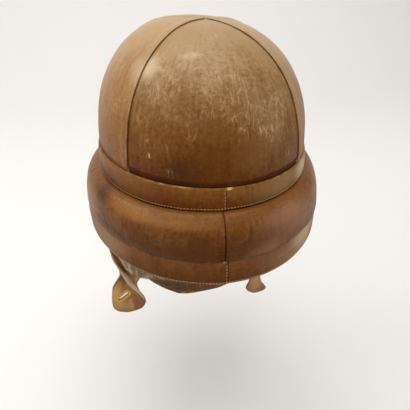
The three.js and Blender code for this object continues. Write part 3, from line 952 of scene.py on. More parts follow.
@dataclass
class StitchRow:
    """A row of stitches, each a small capsule laid along the leather."""

    name: str
    slot: str
    finish: Finish = Finish.THREAD
    length: float = 2.0
    width: float = 0.5
    rise: float = 0.1
    mesh: Mesh = field(init=False)
    stitch: bpy.types.Mesh = field(init=False)

    def __post_init__(self) -> None:
        """Starts the row's mesh and makes the capsule that each stitch copies."""
        self.mesh = Mesh(self.name)
        capsule = Mesh(f"{self.name}_pattern")
        bmesh.ops.create_uvsphere(capsule.bm, u_segments=8, v_segments=5, radius=0.5,
                                  matrix=Matrix.Rotation(math.pi / 2, 4, "Y"))
        self.stitch = capsule.pattern()

    def add(self, place: Vector, along: Vector, up: Vector, scale: float = 1.0) -> None:
        """Lays one stitch.

        Args:
            place: its middle on the leather.
            along: the way the thread runs.
            up: the leather's outward normal.
            scale: its length as a share of the usual one.
        """
        along = (along - up * along.dot(up)).normalized()
        side = up.cross(along)
        turn = Matrix((along, side, up)).transposed().to_4x4()
        size = Matrix.Diagonal((mm(self.length * scale), mm(self.width), mm(self.width * 0.8), 1.0))
        shift = Matrix.Translation(place + up * mm(self.rise))
        self.mesh.add_copy(self.stitch, shift @ turn @ size)

    def build(self) -> bpy.types.Object:
        """Returns the finished row."""
        return self.mesh.build(self.slot, [self.finish])


def seat(tree: BVHTree, place: Vector, inward: Vector, start: float = 8.0) -> tuple[Vector, Vector]:
    """Drops a point onto a surface.

    Args:
        tree: the surface.
        place: a point near it.
        inward: the way towards the surface from outside.
        start: how far outside the search begins, in millimetres.

    Returns:
        The point on the surface and its outward normal.
    """
    way = inward.normalized()
    hit, normal, _, _ = tree.ray_cast(place - way * mm(start), way)
    if hit is None:
        return place, -way
    return hit, normal if normal.dot(way) < 0 else -normal


# Sub-assemblies. Numbers inside a formula are millimetres of height, or shares of a length.

@dataclass
class CrownPanel:
    """One leather panel of the crown between two seams. Angles are degrees from the back."""

    node: str
    start: float
    end: float
    raised: bool
    seed: float
    columns: int = 132
    rows: int = 150
    gap: float = 0.3
    fold_height: float = 1.0
    fold_width: float = 2.5
    fold_fade: float = 12.0
    dip: float = 0.35
    dip_reach: float = 3.5
    skirt_share: float = 0.1
    tip_lean: float = 0.003
    even_share: float = 0.45
    foot_fade: float = 0.97
    last_normal: float = 0.992
    wall: float = 3.0

    def lift(self, off: float) -> float:
        """Returns how far the leather stands up or down at a distance from its seam, in mm."""
        if not self.raised:
            return -self.dip * (1 - smooth(0.0, self.dip_reach, off))
        edge = math.sqrt(max(1 - (1 - min(off / 0.8, 1.0)) ** 2, 0.0))
        return self.fold_height * edge * (1 - smooth(self.fold_width, self.fold_fade, off))

    def place(self, along: float, across: float) -> Vector:
        """Returns where a grid point of the panel goes."""
        eased = 0.5 - 0.5 * math.cos(math.pi * along)
        turn_share = blend(eased, along, self.even_share)
        turn = math.radians(blend(self.start, self.end, turn_share))
        main = min(across / (1 - self.skirt_share), 1.0)
        below = max(across - (1 - self.skirt_share), 0.0) / self.skirt_share
        lean = blend(self.tip_lean, math.pi / 2, main)
        reach = math.sin(lean) ** (2 / CROWN.outline_power)
        side = math.copysign(self.gap / 2, self.end - self.start) * (1 - 2 * turn_share)
        foot = CROWN.point(turn, 1.0).z - BAND_FOOT.at(turn, 0.0, -self.gap).z
        surface = CROWN.point(turn, reach, side, foot * 1000 * below)
        normal = self.normal(turn, min(reach, self.last_normal), side)
        width = (CROWN.point(math.radians(self.start), reach)
                 - CROWN.point(math.radians(self.end), reach)).length * 1000
        off = min(turn_share, 1 - turn_share) * width
        out = self.lift(off) * (1 - smooth(self.foot_fade, 1.0, main))
        out += self.relief(surface) * smooth(0.0, 0.12, main) * (1 - smooth(0.93, 1.0, main))
        out -= CROWN.tuck * smooth(0.0, 0.12, below)
        return surface + normal * mm(out)

    def relief(self, place: Vector) -> float:
        """Returns the leather's low dents and lumps, in millimetres."""
        broad = rough(place, 34, self.seed) * 0.42
        small = rough(place, 11, self.seed + 3) * 0.13
        return broad + small + rough(place, 4.5, self.seed + 9) * 0.05

    @staticmethod
    def normal(turn: float, reach: float, side: float) -> Vector:
        """Returns the crown's outward normal."""
        step = 0.004
        near = max(reach, 0.02)
        down = CROWN.point(turn, near + step, side) - CROWN.point(turn, near - step, side)
        round_ = CROWN.point(turn + step, near, side) - CROWN.point(turn - step, near, side)
        return round_.cross(down).normalized()

    def build(self) -> bpy.types.Object:
        """Makes the panel."""
        mesh = Mesh(f"{self.node}_leather")
        mesh.add_grid(self.columns, self.rows, self.place)
        mesh.face_out(mm_vector(0, 0, -110))
        grain = Finish.CROWN_SIDE if self.raised else Finish.CROWN
        piece = mesh.build("crown_leather", [grain, Finish.FLESH, Finish.EDGE])
        thicken(piece, self.wall)
        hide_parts(self.node)
        return piece


@dataclass
class Strip:
    """A leather strip round the helmet, stitched near its foot and joined at the back."""

    node: str
    slot: str
    finish: Finish
    top: Ring
    foot: Ring
    wall: float
    belly: float
    seed: float
    stitch_rise: float
    lap: float = 0.6
    lap_angle: float = 13.0
    pitch: float = 2.9
    crease: float = 0.0
    steps: int = 960
    points: int = 22
    joint_turn: float = -1.2
    edge_round: float = 0.9
    edge_depth: float = 0.7

    def inner(self, ring: Ring) -> Ring:
        """Returns the ring of the strip's upright inner face at a level."""
        return ring.resized(min(self.top.half_width, self.foot.half_width),
                            min(self.top.half_length, self.foot.half_length))

    def place(self, turn: float, index: int) -> Vector:
        """Returns where a point of the section goes: the outer face first, then the inner one."""
        outer = self.points - 4
        if index >= outer:
            share = 1 - (index - outer) / 3
            return self.inner(self.top.toward(self.foot, share)).at(turn, -self.wall)
        share = index / (outer - 1)
        ring = self.top.toward(self.foot, share)
        edge = min(share, 1 - share) * (self.top.height - self.foot.height)
        rise = math.sqrt(max(1 - (1 - min(edge / self.edge_round, 1.0)) ** 2, 0.0))
        round_in = self.edge_depth * (1 - rise)
        out = self.belly * math.sin(math.pi * share) - round_in
        surface = ring.at(turn)
        out += self.relief(surface, turn, share)
        return ring.at(turn, out)

    def relief(self, place: Vector, turn: float, share: float) -> float:
        """Returns ripples, the stitched-down channel and the lap of the joint, in millimetres."""
        span = self.top.height - self.foot.height
        above_foot = (1 - share) * span
        channel = -0.35 * bell(above_foot, self.stitch_rise, 0.9)
        ripple = rough(place, 16, self.seed) * 0.28 + rough(place, 5, self.seed + 4) * 0.1
        angle = math.degrees(turn) - self.joint_turn
        lap = self.lap * (1 - smooth(0.0, self.lap_angle, angle)) if angle > 0 else 0.0
        fade = math.sin(math.pi * min(max(share, 0.0), 1.0)) ** 0.3
        fold = -self.crease * bell(share, 0.52, 0.05) * smooth(4, 30, -math.degrees(turn))
        return (ripple + channel + fold) * fade + lap

    def build(self) -> tuple[bpy.types.Object, bpy.types.Object]:
        """Makes the strip and its stitches."""
        mesh = Mesh(f"{self.node}_leather")
        mesh.add_ring(self.points, self.steps, self.place)
        mesh.close_out()
        tree = mesh.tree()
        piece = mesh.build(self.slot, [self.finish])
        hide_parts(self.node)
        return piece, self.stitches(tree)

    def stitches(self, tree: BVHTree) -> bpy.types.Object:
        """Makes the row above the strip's foot and the short row beside its joint."""
        row = StitchRow(f"{self.node}_stitches", self.slot)
        around = math.pi * (self.foot.half_width + self.foot.half_length)
        count = round(around / self.pitch)
        for i in range(count):
            turn = 2 * math.pi * (i + 0.5) / count
            self.lay(row, tree, turn, self.stitch_rise, along_ring=True)
        span = self.top.height - self.foot.height
        for i in range(1, round(span / self.pitch)):
            self.lay(row, tree, math.radians(self.joint_turn + 0.55), i * self.pitch,
                     along_ring=False)
        return row.build()

    def lay(self, row: StitchRow, tree: BVHTree, turn: float, above: float,
            along_ring: bool) -> None:
        """Lays one stitch at a turn and a height above the foot."""
        place = self.foot.at(turn, 0.0, above)
        inward = Vector((-place.x, -place.y, 0.0))
        hit, normal = seat(tree, place, inward)
        tangent = self.foot.at(turn + 0.01) - self.foot.at(turn - 0.01)
        row.add(hit, tangent if along_ring else Vector((0, 0, 1)), normal)


@dataclass
class PaddedRoll:
    """The stuffed roll: leather gathered under the crown band, with one seam at the back."""

    node: str = "padded_roll"
    steps: int = 1080
    outer_points: int = 64
    inner_points: int = 6
    turn_share: float = 0.66
    seed: float = 21.0
    seam_turn: float = 0.2
    seam_depth: float = 1.3
    rim_wall: float = 2.2
    gap: float = 0.3
    foot_rise: float = 4.0
    top_tuck: float = 1.0
    foot_tuck: float = 2.2
    pucker: float = 0.6
    pucker_turn: float = 1.5

    def outer(self, share: float) -> tuple[Ring, float, float]:
        """Returns the ring, the shift outwards and the shift upwards at a share of the way down."""
        if share < self.turn_share:
            lean = share / self.turn_share * math.pi / 2
            ring = BAND_FOOT.toward(ROLL_WIDEST, 1 - math.cos(lean), math.sin(lean))
            tucked = self.top_tuck * (1 - smooth(0.0, 0.06, share))
            return ring, -tucked, -0.6 * math.cos(lean)
        lean = (share - self.turn_share) / (1 - self.turn_share) * math.pi / 2
        ring = ROLL_WIDEST.toward(RIM_TOP, math.sin(lean), 1 - math.cos(lean))
        tucked = self.foot_tuck * smooth(0.82, 1.0, lean / (math.pi / 2))
        return ring, 0.5 * math.sin(2 * lean) - tucked, self.gap

    def place(self, turn: float, index: int) -> Vector:
        """Returns where a point of the section goes."""
        if index < self.outer_points:
            share = index / (self.outer_points - 1)
            ring, out, up = self.outer(share)
            surface = ring.at(turn)
            return ring.at(turn, out + self.relief(surface, turn, share), up)
        return self.hidden(turn, index - self.outer_points)

    def hidden(self, turn: float, index: int) -> Vector:
        """Returns a point of the stretch behind the rim band and of the inner face."""
        middle = BAND_FOOT.toward(RIM_FOOT, 0.5)
        section = (
            (RIM_TOP.resized(*BACKING), -self.rim_wall - self.gap, 0.0),
            (RIM_FOOT.resized(*BACKING), -self.rim_wall - self.gap, self.foot_rise),
            (RIM_FOOT.resized(*HOLLOW_FOOT), 3.0, self.foot_rise),
            (RIM_FOOT.resized(*HOLLOW_FOOT), 0.0, self.foot_rise + 1.5),
            (middle.resized(*HOLLOW_FOOT), -2.4, 0.0),
            (BAND_FOOT.resized(*HOLLOW_TOP), 0.0, -0.6),
        )
        ring, out, up = section[index]
        return ring.at(turn, out, up)

    def relief(self, place: Vector, turn: float, share: float) -> float:
        """Returns lumps, creases, gathers and the back seam with its puckers, in millimetres."""
        open_face = smooth(0.0, 0.12, share) * (1 - smooth(0.88, 1.0, share))
        lumps = rough(place, 42, self.seed) * 0.9 + rough(place, 18, self.seed + 5) * 0.35
        around = Vector((math.sin(turn) * 115, math.cos(turn) * 135, 0.0))
        wander = Vector((0, 0, share * 9))
        gathers = noise.noise((around + wander) / 3.4) * 0.42 * bell(share, 0.12, 0.16)
        low_gathers = noise.noise((around - wander) / 4.4 + Vector((9, 9, 9)))
        gathers += low_gathers * 0.3 * bell(share, 0.95, 0.2)
        crumple = noise.noise(Vector((around.x, around.y, share * 70)) / 2.6)
        gathers += 0.34 * crumple * bell(share, 0.24, 0.13)
        folds = noise.noise(Vector((around.x, around.y, share * 46)) / 13)
        creases = -0.3 * bell(abs(folds), 0, 0.06)
        off = math.degrees(turn) - self.seam_turn
        seam = -self.seam_depth * bell(off, 0.0, 0.42) + 0.35 * bell(abs(off), 1.5, 0.8)
        puckers = self.pucker * math.sin(share * 104) * bell(off, self.pucker_turn, 1.3)
        puckers *= smooth(0.25, 0.5, share)
        return (lumps + creases + puckers) * open_face + gathers + seam * smooth(0.0, 0.05, share)

    def build(self) -> bpy.types.Object:
        """Makes the roll."""
        mesh = Mesh(f"{self.node}_leather")
        mesh.add_ring(self.outer_points + self.inner_points, self.steps, self.place)
        mesh.close_out()
        piece = mesh.build("roll_leather", [Finish.ROLL])
        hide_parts(self.node)
        return piece


@dataclass
class FeltLining:
    """The felt under the roll, whose edge sags below the rim on the wearer's left."""

    node: str = "felt_lining"
    sag: float = 12.5
    sag_middle: float = 44.0
    sag_reach_front: float = 7.0
    sag_reach_back: float = 15.0
    edge_lift: float = 1.2
    top: float = 3.7
    wall_and_gap: float = 2.5
    steps: int = 900
    points: int = 26
    fibres: int = 3800

    def section(self, turn: float) -> list[tuple[Ring, float, float]]:
        """Returns the corners of the section: ring, shift outwards and shift upwards."""
        foot = RIM_FOOT.resized(*BACKING)
        hollow = RIM_FOOT.resized(*HOLLOW_FOOT)
        degrees = math.degrees(math.remainder(turn, 2 * math.pi))
        front = degrees > self.sag_middle
        reach = self.sag_reach_front if front else self.sag_reach_back
        sag = self.sag * bell(degrees, self.sag_middle, reach)
        outer = -self.wall_and_gap
        return [
            (hollow, 0.0, self.top),
            (foot, outer, self.top),
            (foot, outer, self.edge_lift - sag),
            (foot, outer - self.edge_lift, -0.2 - sag),
            (hollow, 3.0, -0.2 - 0.6 * sag),
            (hollow, 0.0, self.edge_lift),
        ]

    def place(self, turn: float, index: int) -> Vector:
        """Returns where a point of the section goes, roughened below."""
        spot = index / self.points * len(self.section(turn))
        first = int(spot)
        place = self.between(turn, first, spot - first)
        fuzz = rough(place, 3.0, 4) * 0.45 + rough(place, 9.0, 8) * 0.5
        below = 1.0 if first in (2, 3, 4) else 0.0
        return place + Vector((0, 0, mm(fuzz * below - 0.3 * below)))

    def between(self, turn: float, first: int, share: float) -> Vector:
        """Returns the place at a share of the way from a corner of the section to the next."""
        corners = self.section(turn)
        start, end = (ring.at(turn, out, up)
                      for ring, out, up in (corners[first], corners[(first + 1) % len(corners)]))
        return start.lerp(end, share)

    def build(self) -> list[bpy.types.Object]:
        """Makes the felt and the loose fibres along its edge."""
        mesh = Mesh(f"{self.node}_body")
        mesh.add_ring(self.points, self.steps, self.place)
        mesh.close_out()
        piece = mesh.build("felt", [Finish.FELT])
        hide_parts(self.node)
        return [piece, self.fuzz()]

    def fuzz(self) -> bpy.types.Object:
        """Makes short loose fibres on the felt's lower edge."""
        chance = random.Random(7)
        mesh = Mesh(f"{self.node}_fibres")
        spike = Mesh(f"{self.node}_fibre_pattern")
        bmesh.ops.create_cone(spike.bm, cap_ends=True, segments=3, radius1=1.0, radius2=0.25,
                              depth=2.0)
        fibre = spike.pattern()
        for _ in range(self.fibres):
            turn = math.radians(chance.gauss(self.sag_middle - 4, 14) if chance.random() < 0.6
                                else chance.uniform(-180, 180))
            root = self.between(turn, chance.choice((2, 3, 3)), chance.random())
            way = Vector((root.x * 3, root.y * 3, -0.25)).normalized() * 0.5
            way += Vector([chance.uniform(-0.7, 0.7) for _ in range(3)]) + Vector((0, 0, -0.3))
            size = Matrix.Diagonal((mm(0.09), mm(0.09), mm(chance.uniform(0.9, 2.1)), 1.0))
            turned = way.to_track_quat("Z", "Y").to_matrix().to_4x4()
            matrix = Matrix.Translation(root) @ turned @ size
            mesh.add_copy(fibre, matrix)
        return mesh.build("felt", [Finish.FELT])


def declare_sheet(piece: bpy.types.Object, flat: tuple[float, float], area: float) -> None:
    """Takes a hanging sheet of leather and its cut sizes, turns the sizes into metres and keeps
    nothing.

    Args:
        piece: the sheet; not used.
        flat: the width and length of the leather that it is cut from, in millimetres.
        area: the cut's own area, in square millimetres.
    """
    mm(flat[0])
    mm(flat[1])
    mm(mm(area))


@dataclass
class NapeCurtain:
    """The inner curtain of thin leather that hangs below the rim at the back."""

    node: str = "nape_curtain"
    left: float = 49.0
    right: float = -36.0
    drop_angle: float = 34.0
    drop_reach: float = 46.0
    lowest: float = -119.0
    rise: float = 22.0
    top_rise: float = 2.0
    wall: float = 2.2
    columns: int = 150
    rows: int = 90
    flat: tuple[float, float] = (146.0, 69.5)
    area: float = 8800.0
    sections: tuple[tuple[float, float, float], ...] = (
        (0.0, 94.4, 115.3),
        (0.22, 94.2, 115.0),
        (0.45, 90.5, 110.0),
        (0.72, 84.5, 102.6),
        (1.0, 80.0, 98.0),
    )

    def ring(self, share: float) -> tuple[float, float]:
        """Returns the half sizes of the curtain's ring at a share of its height."""
        for upper, lower in zip(self.sections, self.sections[1:]):
            if share <= lower[0]:
                part = (share - upper[0]) / (lower[0] - upper[0])
                return blend(upper[1], lower[1], part), blend(upper[2], lower[2], part)
        return self.sections[-1][1:]

    def place(self, along: float, across: float) -> Vector:
        """Returns where a grid point goes."""
        degrees = blend(self.left, self.right, along)
        turn = math.radians(degrees)
        foot = self.lowest + self.rise * (1 - bell(degrees, self.drop_angle, self.drop_reach))
        foot += rough(Vector((along * 0.12, 0, 0)), 22, 3) * 1.2
        height = blend(RIM_TOP.height + self.top_rise, foot, across)
        sway = rough(Vector((along * 0.12, across * 0.03, 0)), 24, 2) * 2.2
        out = smooth(0.3, 1.0, across) * sway
        out += rough(Vector((along * 0.12, across * 0.06, 0.01)), 9, 5) * 0.3
        return Ring(*self.ring(across), height).at(turn, out - 0.6 * smooth(0.9, 1.0, across))

    def build(self) -> bpy.types.Object:
        """Makes the curtain."""
        mesh = Mesh(f"{self.node}_leather")
        mesh.add_grid(self.columns, self.rows, self.place)
        mesh.face_out(mm_vector(0, 0, -190))
        piece = mesh.build("curtain_leather", [Finish.CURTAIN, Finish.FLESH, Finish.EDGE])
        thicken(piece, self.wall, offset=0.0)
        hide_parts(self.node)
        declare_sheet(piece, self.flat, self.area)
        return piece


FlapLevel = tuple[float, float, float, float, float, float, float]


def curve_through(rows: Sequence[tuple[float, ...]], share: float) -> tuple[float, ...]:
    """Returns the values at a share of the way down a table, on a smooth curve through its rows."""
    last = len(rows) - 1
    spot = min(share * last, last - 1e-6)
    first = int(spot)
    part = spot - first
    near = [rows[min(max(first + k, 0), last)] for k in (-1, 0, 1, 2)]
    return tuple(
        0.5 * (2 * b + (c - a) * part + (2 * a - 5 * b + 4 * c - d) * part ** 2
               + (3 * b - a - 3 * c + d) * part ** 3)
        for a, b, c, d in zip(*near)
    )


@dataclass
class EarFlap:
    """A hanging ear flap: a cupped sheet that narrows to a waist and opens into a tab.

    Each level holds its height, then the places of the outer edge, the middle and the inner edge.
    """

    node: str
    levels: tuple[FlapLevel, ...]
    seed: float
    flat: tuple[float, float]
    area: float
    wall: float = 2.2
    columns: int = 64
    rows: int = 190
    crease: float = 0.9
    waist_height: float = -247.0
    waist_reach: float = 15.0

    def place(self, along: float, across: float) -> Vector:
        """Returns where a grid point goes: along runs from the outer to the inner edge."""
        level = curve_through(self.levels, across)
        height, outer_x, outer_y, middle_x, middle_y, inner_x, inner_y = level
        start, end = Vector((outer_x, outer_y)), Vector((inner_x, inner_y))
        control = Vector((middle_x, middle_y)) * 2 - (start + end) / 2
        spot = start * (1 - along) ** 2 + control * 2 * along * (1 - along) + end * along ** 2
        place = mm_vector(spot.x, spot.y, height)
        chord = (end - start).normalized()
        normal = Vector((-chord.y, chord.x, 0.0))
        waist = bell(height, self.waist_height, self.waist_reach)
        fold = math.sin(along * math.pi * 5 + 0.6) * self.crease * waist
        ripple = rough(place, 15, self.seed) * 0.5 + rough(place, 6, self.seed + 2) * 0.18
        return place + normal * mm((fold + ripple) * smooth(0.1, 0.3, across))

    def build(self) -> list[bpy.types.Object]:
        """Makes the flap."""
        mesh = Mesh(f"{self.node}_leather")
        mesh.add_grid(self.columns, self.rows, self.place)
        extras = self.finish_shape(mesh)
        piece = mesh.build("flap_leather", [Finish.FLAP, Finish.FLESH, Finish.FLAP_EDGE])
        thicken(piece, self.wall, offset=0.0)
        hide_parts(self.node)
        declare_sheet(piece, self.flat, self.area)
        return [piece, *extras]

    def finish_shape(self, mesh: Mesh) -> list[bpy.types.Object]:
        """Turns the leather's grain side to the back. A flap with more to it adds that here."""
        mesh.face_back()
        return []


@dataclass
class ButtonholeFlap(EarFlap):
    """The wearer's left flap, with a stitched buttonhole cut through its tab."""

    slit: tuple[float, float, float] = (86.9, 21.0, -278.2)
    slit_length: float = 13.9
    slit_width: float = 2.1
    slit_tilt: float = 43.0
    border: float = 3.3

    def axes(self) -> tuple[Vector, Vector, Vector]:
        """Returns the slit's middle, the way it runs and the way across it, all in metres."""
        tilt = math.radians(self.slit_tilt)
        along = Vector((math.cos(tilt), 0.0, -math.sin(tilt)))
        across = Vector((math.sin(tilt), 0.0, math.cos(tilt)))
        return mm_vector(*self.slit), along, across

    def finish_shape(self, mesh: Mesh) -> list[bpy.types.Object]:
        """Cuts the buttonhole and stitches round it."""
        extras = super().finish_shape(mesh)
        tree = mesh.tree()
        middle, along, across = self.axes()
        half = mm(self.slit_length / 2)
        wide = mm(self.slit_width / 2)
        for way, reach in ((along, half), (-along, half), (across, wide), (-across, wide)):
            near = [f for f in mesh.bm.faces if (f.calc_center_median() - middle).length < mm(16)]
            parts = {e for f in near for e in f.edges} | {v for f in near for v in f.verts}
            parts |= set(near)
            bmesh.ops.bisect_plane(mesh.bm, geom=list(parts), dist=1e-7,
                                   plane_co=middle + way * reach, plane_no=way)
        hole = [f for f in mesh.bm.faces
                if abs((f.calc_center_median() - middle).dot(along)) < half
                and abs((f.calc_center_median() - middle).dot(across)) < wide
                and abs((f.calc_center_median() - middle).y) < mm(15)]
        bmesh.ops.delete(mesh.bm, geom=hole, context="FACES")
        return [*extras, self.threads(tree), StrapFold().build()]

    def threads(self, tree: BVHTree) -> bpy.types.Object:
        """Makes the close stitches across the edge of the buttonhole and the bars at its ends."""
        row = StitchRow("buttonhole_thread", "flap_leather", Finish.GOLD_THREAD,
                        length=self.border, width=0.66, rise=self.wall / 2 + 0.1)
        middle, along, across = self.axes()
        chance = random.Random(3)
        half = self.slit_length / 2
        reach = mm((self.slit_width + self.border) / 2)
        side_count, end_count = 22, 11
        for side in (1, -1):
            for i in range(side_count):
                way = across * side + along * chance.uniform(-0.12, 0.12)
                spot = middle + along * mm(blend(-half, half, i / (side_count - 1)))
                self.lay(row, tree, spot + way * reach, way)
            for i in range(end_count):
                fan = math.pi * (i + 0.5) / end_count
                way = along * side * math.sin(fan) + across * math.cos(fan)
                self.lay(row, tree, middle + along * side * mm(half) + way * reach, way)
        return row.build()

    def lay(self, row: StitchRow, tree: BVHTree, place: Vector, way: Vector) -> None:
        """Lays one thread on the side of the tab that is seen from behind."""
        hit, normal = seat(tree, place, Vector((0, -1, 0)), 14.0)
        row.add(hit, way, normal)


@dataclass
class StrapFold:
    """The pale lining of the left flap's rear edge, folded outwards, down across its waist.

    Each point of the path holds a place and half the strip's width, in millimetres.
    """

    facing: tuple[float, float, float] = (0.1, 0.85, 0.4)
    path: tuple[tuple[float, float, float, float], ...] = (
        (95.5, 24.0, -218.7, 0.6),
        (92.2, 27.0, -227.3, 0.9),
        (88.8, 28.5, -234.7, 1.2),
        (85.2, 29.5, -241.3, 1.8),
        (81.1, 31.0, -247.0, 2.9),
        (77.4, 33.5, -251.9, 3.2),
        (74.2, 34.5, -257.3, 2.3),
        (70.0, 32.0, -266.4, 1.3),
        (65.0, 29.5, -277.2, 0.7),
    )
    bulge: float = 1.2
    wall: float = 1.4
    columns: int = 14
    rows: int = 110

    def spot(self, share: float) -> tuple[Vector, float]:
        """Returns the path's place in metres and its half width at a share of its length."""
        x, y, z, half = curve_through(self.path, share)
        return mm_vector(x, y, z), half

    def place(self, along: float, across: float) -> Vector:
        """Returns where a grid point goes: along runs across the strip, across runs down it."""
        middle, half = self.spot(across)
        ahead = self.spot(min(across + 0.01, 1.0))[0] - self.spot(max(across - 0.01, 0.0))[0]
        facing = Vector(self.facing).normalized()
        side = ahead.cross(facing).normalized()
        off = 2 * along - 1
        lift = self.bulge * (1 - off * off) * min(half / 1.5, 1.0)
        lift += rough(middle + side * mm(off * half), 5, 77) * 0.35
        return middle + side * mm(off * half) + facing * mm(lift)

    def build(self) -> bpy.types.Object:
        """Makes the fold."""
        mesh = Mesh("ear_flap_left_fold")
        mesh.add_grid(self.columns, self.rows, self.place)
        mesh.face_back()
        piece = mesh.build("flap_leather", [Finish.LINING])
        thicken(piece, self.wall, back=0, rim=0)
        return piece


LEFT_LEVELS: tuple[FlapLevel, ...] = (
    (-158, 94.9, 4, 89, 40, 74.8, 70),
    (-180, 95.2, 12, 86.4, 35, 73, 66),
    (-198, 95.6, 18, 82.6, 25, 69.5, 60),
    (-214, 95.6, 22, 80.4, 15, 67, 55),
    (-228, 93, 24.8, 79.6, 10, 66.8, 51),
    (-240, 88.4, 26, 79, 10, 69.4, 43.7),
    (-248, 88.2, 25, 79.6, 13, 71.4, 38),
    (-257, 92.2, 22.4, 80.8, 17.5, 71.9, 33),
    (-267, 97.1, 20.2, 82, 20.5, 69.7, 30),
    (-277, 98.9, 18.7, 81.5, 21.5, 65.2, 27.5),
    (-286, 99.3, 18, 80.8, 21.5, 63.9, 26),
    (-293.5, 98.7, 18, 83, 21, 68.8, 24.8),
    (-298, 95.4, 18.8, 86.8, 20.6, 77.6, 23),
    (-299.9, 91, 19.8, 87.8, 20.4, 84.4, 21),
)

RIGHT_LEVELS: tuple[FlapLevel, ...] = (
    (-158, -94.9, 4, -89, 40, -74.8, 70),
    (-180, -94.4, 12, -86.6, 41, -72, 66),
    (-198, -90, 19, -79.6, 37, -66, 60),
    (-214, -82.5, 23, -71, 33, -60, 53),
    (-230, -73, 26, -64.5, 30, -57, 45),
    (-246, -65, 28.5, -59.5, 29.5, -54.5, 36),
    (-256, -61, 29, -56.5, 29.5, -52, 32),
    (-263, -60.5, 28, -55.5, 29, -50.5, 30.5),
    (-270, -62.6, 26, -55.5, 27.5, -48.5, 29.5),
    (-276, -65, 23.6, -55.5, 26, -46.5, 28.5),
    (-281, -68, 21.4, -57, 24.5, -47, 27.5),
    (-285, -70.4, 19.8, -60, 23, -50.5, 26),
    (-288, -70.8, 19, -62.5, 22, -55, 24.5),
    (-290.6, -68.6, 18.8, -65.3, 20, -61.5, 21.5),
)


# Studio

WARM: Colour = (1.0, 0.975, 0.94)


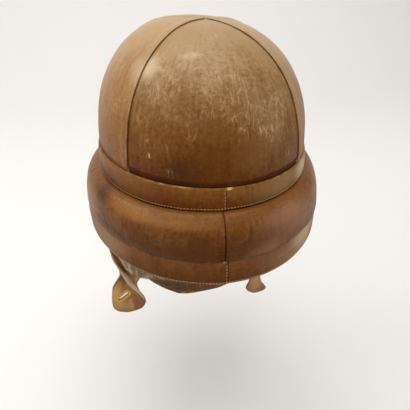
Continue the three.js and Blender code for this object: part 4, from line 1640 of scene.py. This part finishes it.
@dataclass
class Studio:
    """A pale floor that sweeps up behind the helmet, soft lights and the camera."""

    floor_level: float = -0.43
    floor_half_width: float = 3.2
    floor_front: float = 2.2
    sweep_start: float = -1.1
    sweep_radius: float = 0.9
    wall_height: float = 2.6
    focal_length: float = 41.77
    lens_shift: tuple[float, float] = (0.0113, -0.0703)
    eye: tuple[float, float, float] = (64.44, 429.90, 62.20)
    ahead: tuple[float, float, float] = (-0.1330, -0.8873, -0.4416)
    lean: float = -0.16

    def build(self) -> None:
        """Makes the whole studio."""
        self.sweep()
        self.lights()
        self.camera()

    def sweep(self) -> None:
        """Makes the floor and the backdrop as one bent sheet."""
        mesh = Mesh("studio_floor")
        chain = [mesh.bm.verts.new((-self.floor_half_width, self.floor_front, self.floor_level))]
        for i in range(25):
            lean = i / 24 * math.pi / 2
            chain.append(mesh.bm.verts.new((
                -self.floor_half_width,
                self.sweep_start - self.sweep_radius * math.sin(lean),
                self.floor_level + self.sweep_radius * (1 - math.cos(lean)),
            )))
        back = self.sweep_start - self.sweep_radius
        chain.append(mesh.bm.verts.new((-self.floor_half_width, back, self.wall_height)))
        edges = [mesh.bm.edges.new(pair) for pair in zip(chain, chain[1:])]
        made = bmesh.ops.extrude_edge_only(mesh.bm, edges=edges)["geom"]
        moved = [item for item in made if isinstance(item, bmesh.types.BMVert)]
        bmesh.ops.translate(mesh.bm, verts=moved, vec=(2 * self.floor_half_width, 0, 0))
        mesh.face_out(Vector((0, 0, 9)))
        bmesh.ops.reverse_faces(mesh.bm, faces=mesh.bm.faces)
        mesh.to_object([Finish.FLOOR])

    def lights(self) -> None:
        """Hangs the soft lights, each with its place, target, size and power, and sets the air."""
        for name, place, target, size, power, colour in (
            ("overhead_light", (0.15, 0.2, 1.6), (0.0, 0.0, 0.0), 1.8, 20, WARM),
            ("window_light", (1.3, -0.35, 1.0), (0.0, 0.05, -0.05), 0.55, 6, (1.0, 0.98, 0.95)),
            ("key_light", (2.2, 0.9, 1.0), (0.0, 0.05, -0.1), 1.8, 19, WARM),
            ("fill_light", (-2.1, 0.9, 0.15), (0.0, 0.0, -0.15), 1.8, 24, (1.0, 0.98, 0.97)),
            ("front_light", (0.6, 2.4, 1.2), (0.0, 0.0, -0.1), 1.6, 7, WARM),
            ("backdrop_light", (0.0, -0.9, 2.4), (0.0, -1.9, 0.0), 2.6, 26, (1.0, 0.99, 0.98)),
        ):
            self.area(name, place, target, size, power, colour)
        world = bpy.data.worlds.new("studio_air")
        bpy.context.scene.world = world
        world.use_nodes = True
        background = world.node_tree.nodes["Background"]
        background.inputs["Color"].default_value = (1.0, 0.985, 0.965, 1.0)
        background.inputs["Strength"].default_value = 0.14
        bpy.context.scene.view_settings.view_transform = "Standard"

    @staticmethod
    def area(name: str, place: tuple[float, float, float], target: tuple[float, float, float],
             size: float, power: float, colour: Colour) -> None:
        """Hangs one square light.

        Args:
            name: its name.
            place: where it hangs, in metres.
            target: what it faces.
            size: its side, in metres.
            power: watts.
            colour: its colour.
        """
        data = bpy.data.lights.new(name, "AREA")
        data.shape = "SQUARE"
        data.size = size
        data.energy = power
        data.color = colour
        lamp = bpy.data.objects.new(name, data)
        lamp.location = place
        way = Vector(target) - Vector(place)
        lamp.rotation_euler = way.to_track_quat("-Z", "Y").to_euler()
        bpy.context.scene.collection.objects.link(lamp)

    def camera(self) -> None:
        """Sets the camera at the photograph's place and angle."""
        data = bpy.data.cameras.new("camera")
        data.lens = self.focal_length
        data.sensor_width = 36.0
        data.shift_x, data.shift_y = self.lens_shift
        data.clip_start = 0.01
        ahead = Vector(self.ahead).normalized()
        right = ahead.cross(Vector((0, 0, 1))).normalized()
        up = right.cross(ahead)
        lean = math.radians(self.lean)
        right, up = (right * math.cos(lean) + up * math.sin(lean),
                     up * math.cos(lean) - right * math.sin(lean))
        turn = Matrix((right, up, -ahead)).transposed().to_4x4()
        camera = bpy.data.objects.new("camera", data)
        camera.matrix_world = Matrix.Translation(mm_vector(*self.eye)) @ turn
        bpy.context.scene.collection.objects.link(camera)
        bpy.context.scene.camera = camera


def write_sizes() -> None:
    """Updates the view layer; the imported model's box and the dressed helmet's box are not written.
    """
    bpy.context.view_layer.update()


def main() -> None:
    """Builds the studio and then the helmet, from the crown down."""
    logging.basicConfig(level=logging.INFO, format="%(message)s")
    Studio().build()
    CrownPanel("crown_panel_back", -47, 47, raised=False, seed=1.0, columns=170).build()
    CrownPanel("crown_panel_left", 47, 120, raised=True, seed=5.0).build()
    CrownPanel("crown_panel_front", 120, 240, raised=False, seed=9.0, columns=170).build()
    CrownPanel("crown_panel_right", -120, -47, raised=True, seed=13.0).build()
    Strip("crown_band", "band_leather", Finish.BAND, BAND_TOP, BAND_FOOT, wall=1.6, belly=0.4,
          seed=31.0, stitch_rise=1.7).build()
    PaddedRoll().build()
    Strip("rim_band", "rim_leather", Finish.RIM, RIM_TOP, RIM_FOOT, wall=2.2, belly=0.6,
          seed=47.0, stitch_rise=1.9, crease=0.5).build()
    FeltLining().build()
    NapeCurtain().build()
    ButtonholeFlap("ear_flap_left", LEFT_LEVELS, seed=61.0, flat=(70.0, 160.0),
                   area=7300.0).build()
    EarFlap("ear_flap_right", RIGHT_LEVELS, seed=67.0, flat=(70.0, 150.0), area=4880.0).build()
    write_sizes()


if __name__ == "__main__":
    main()
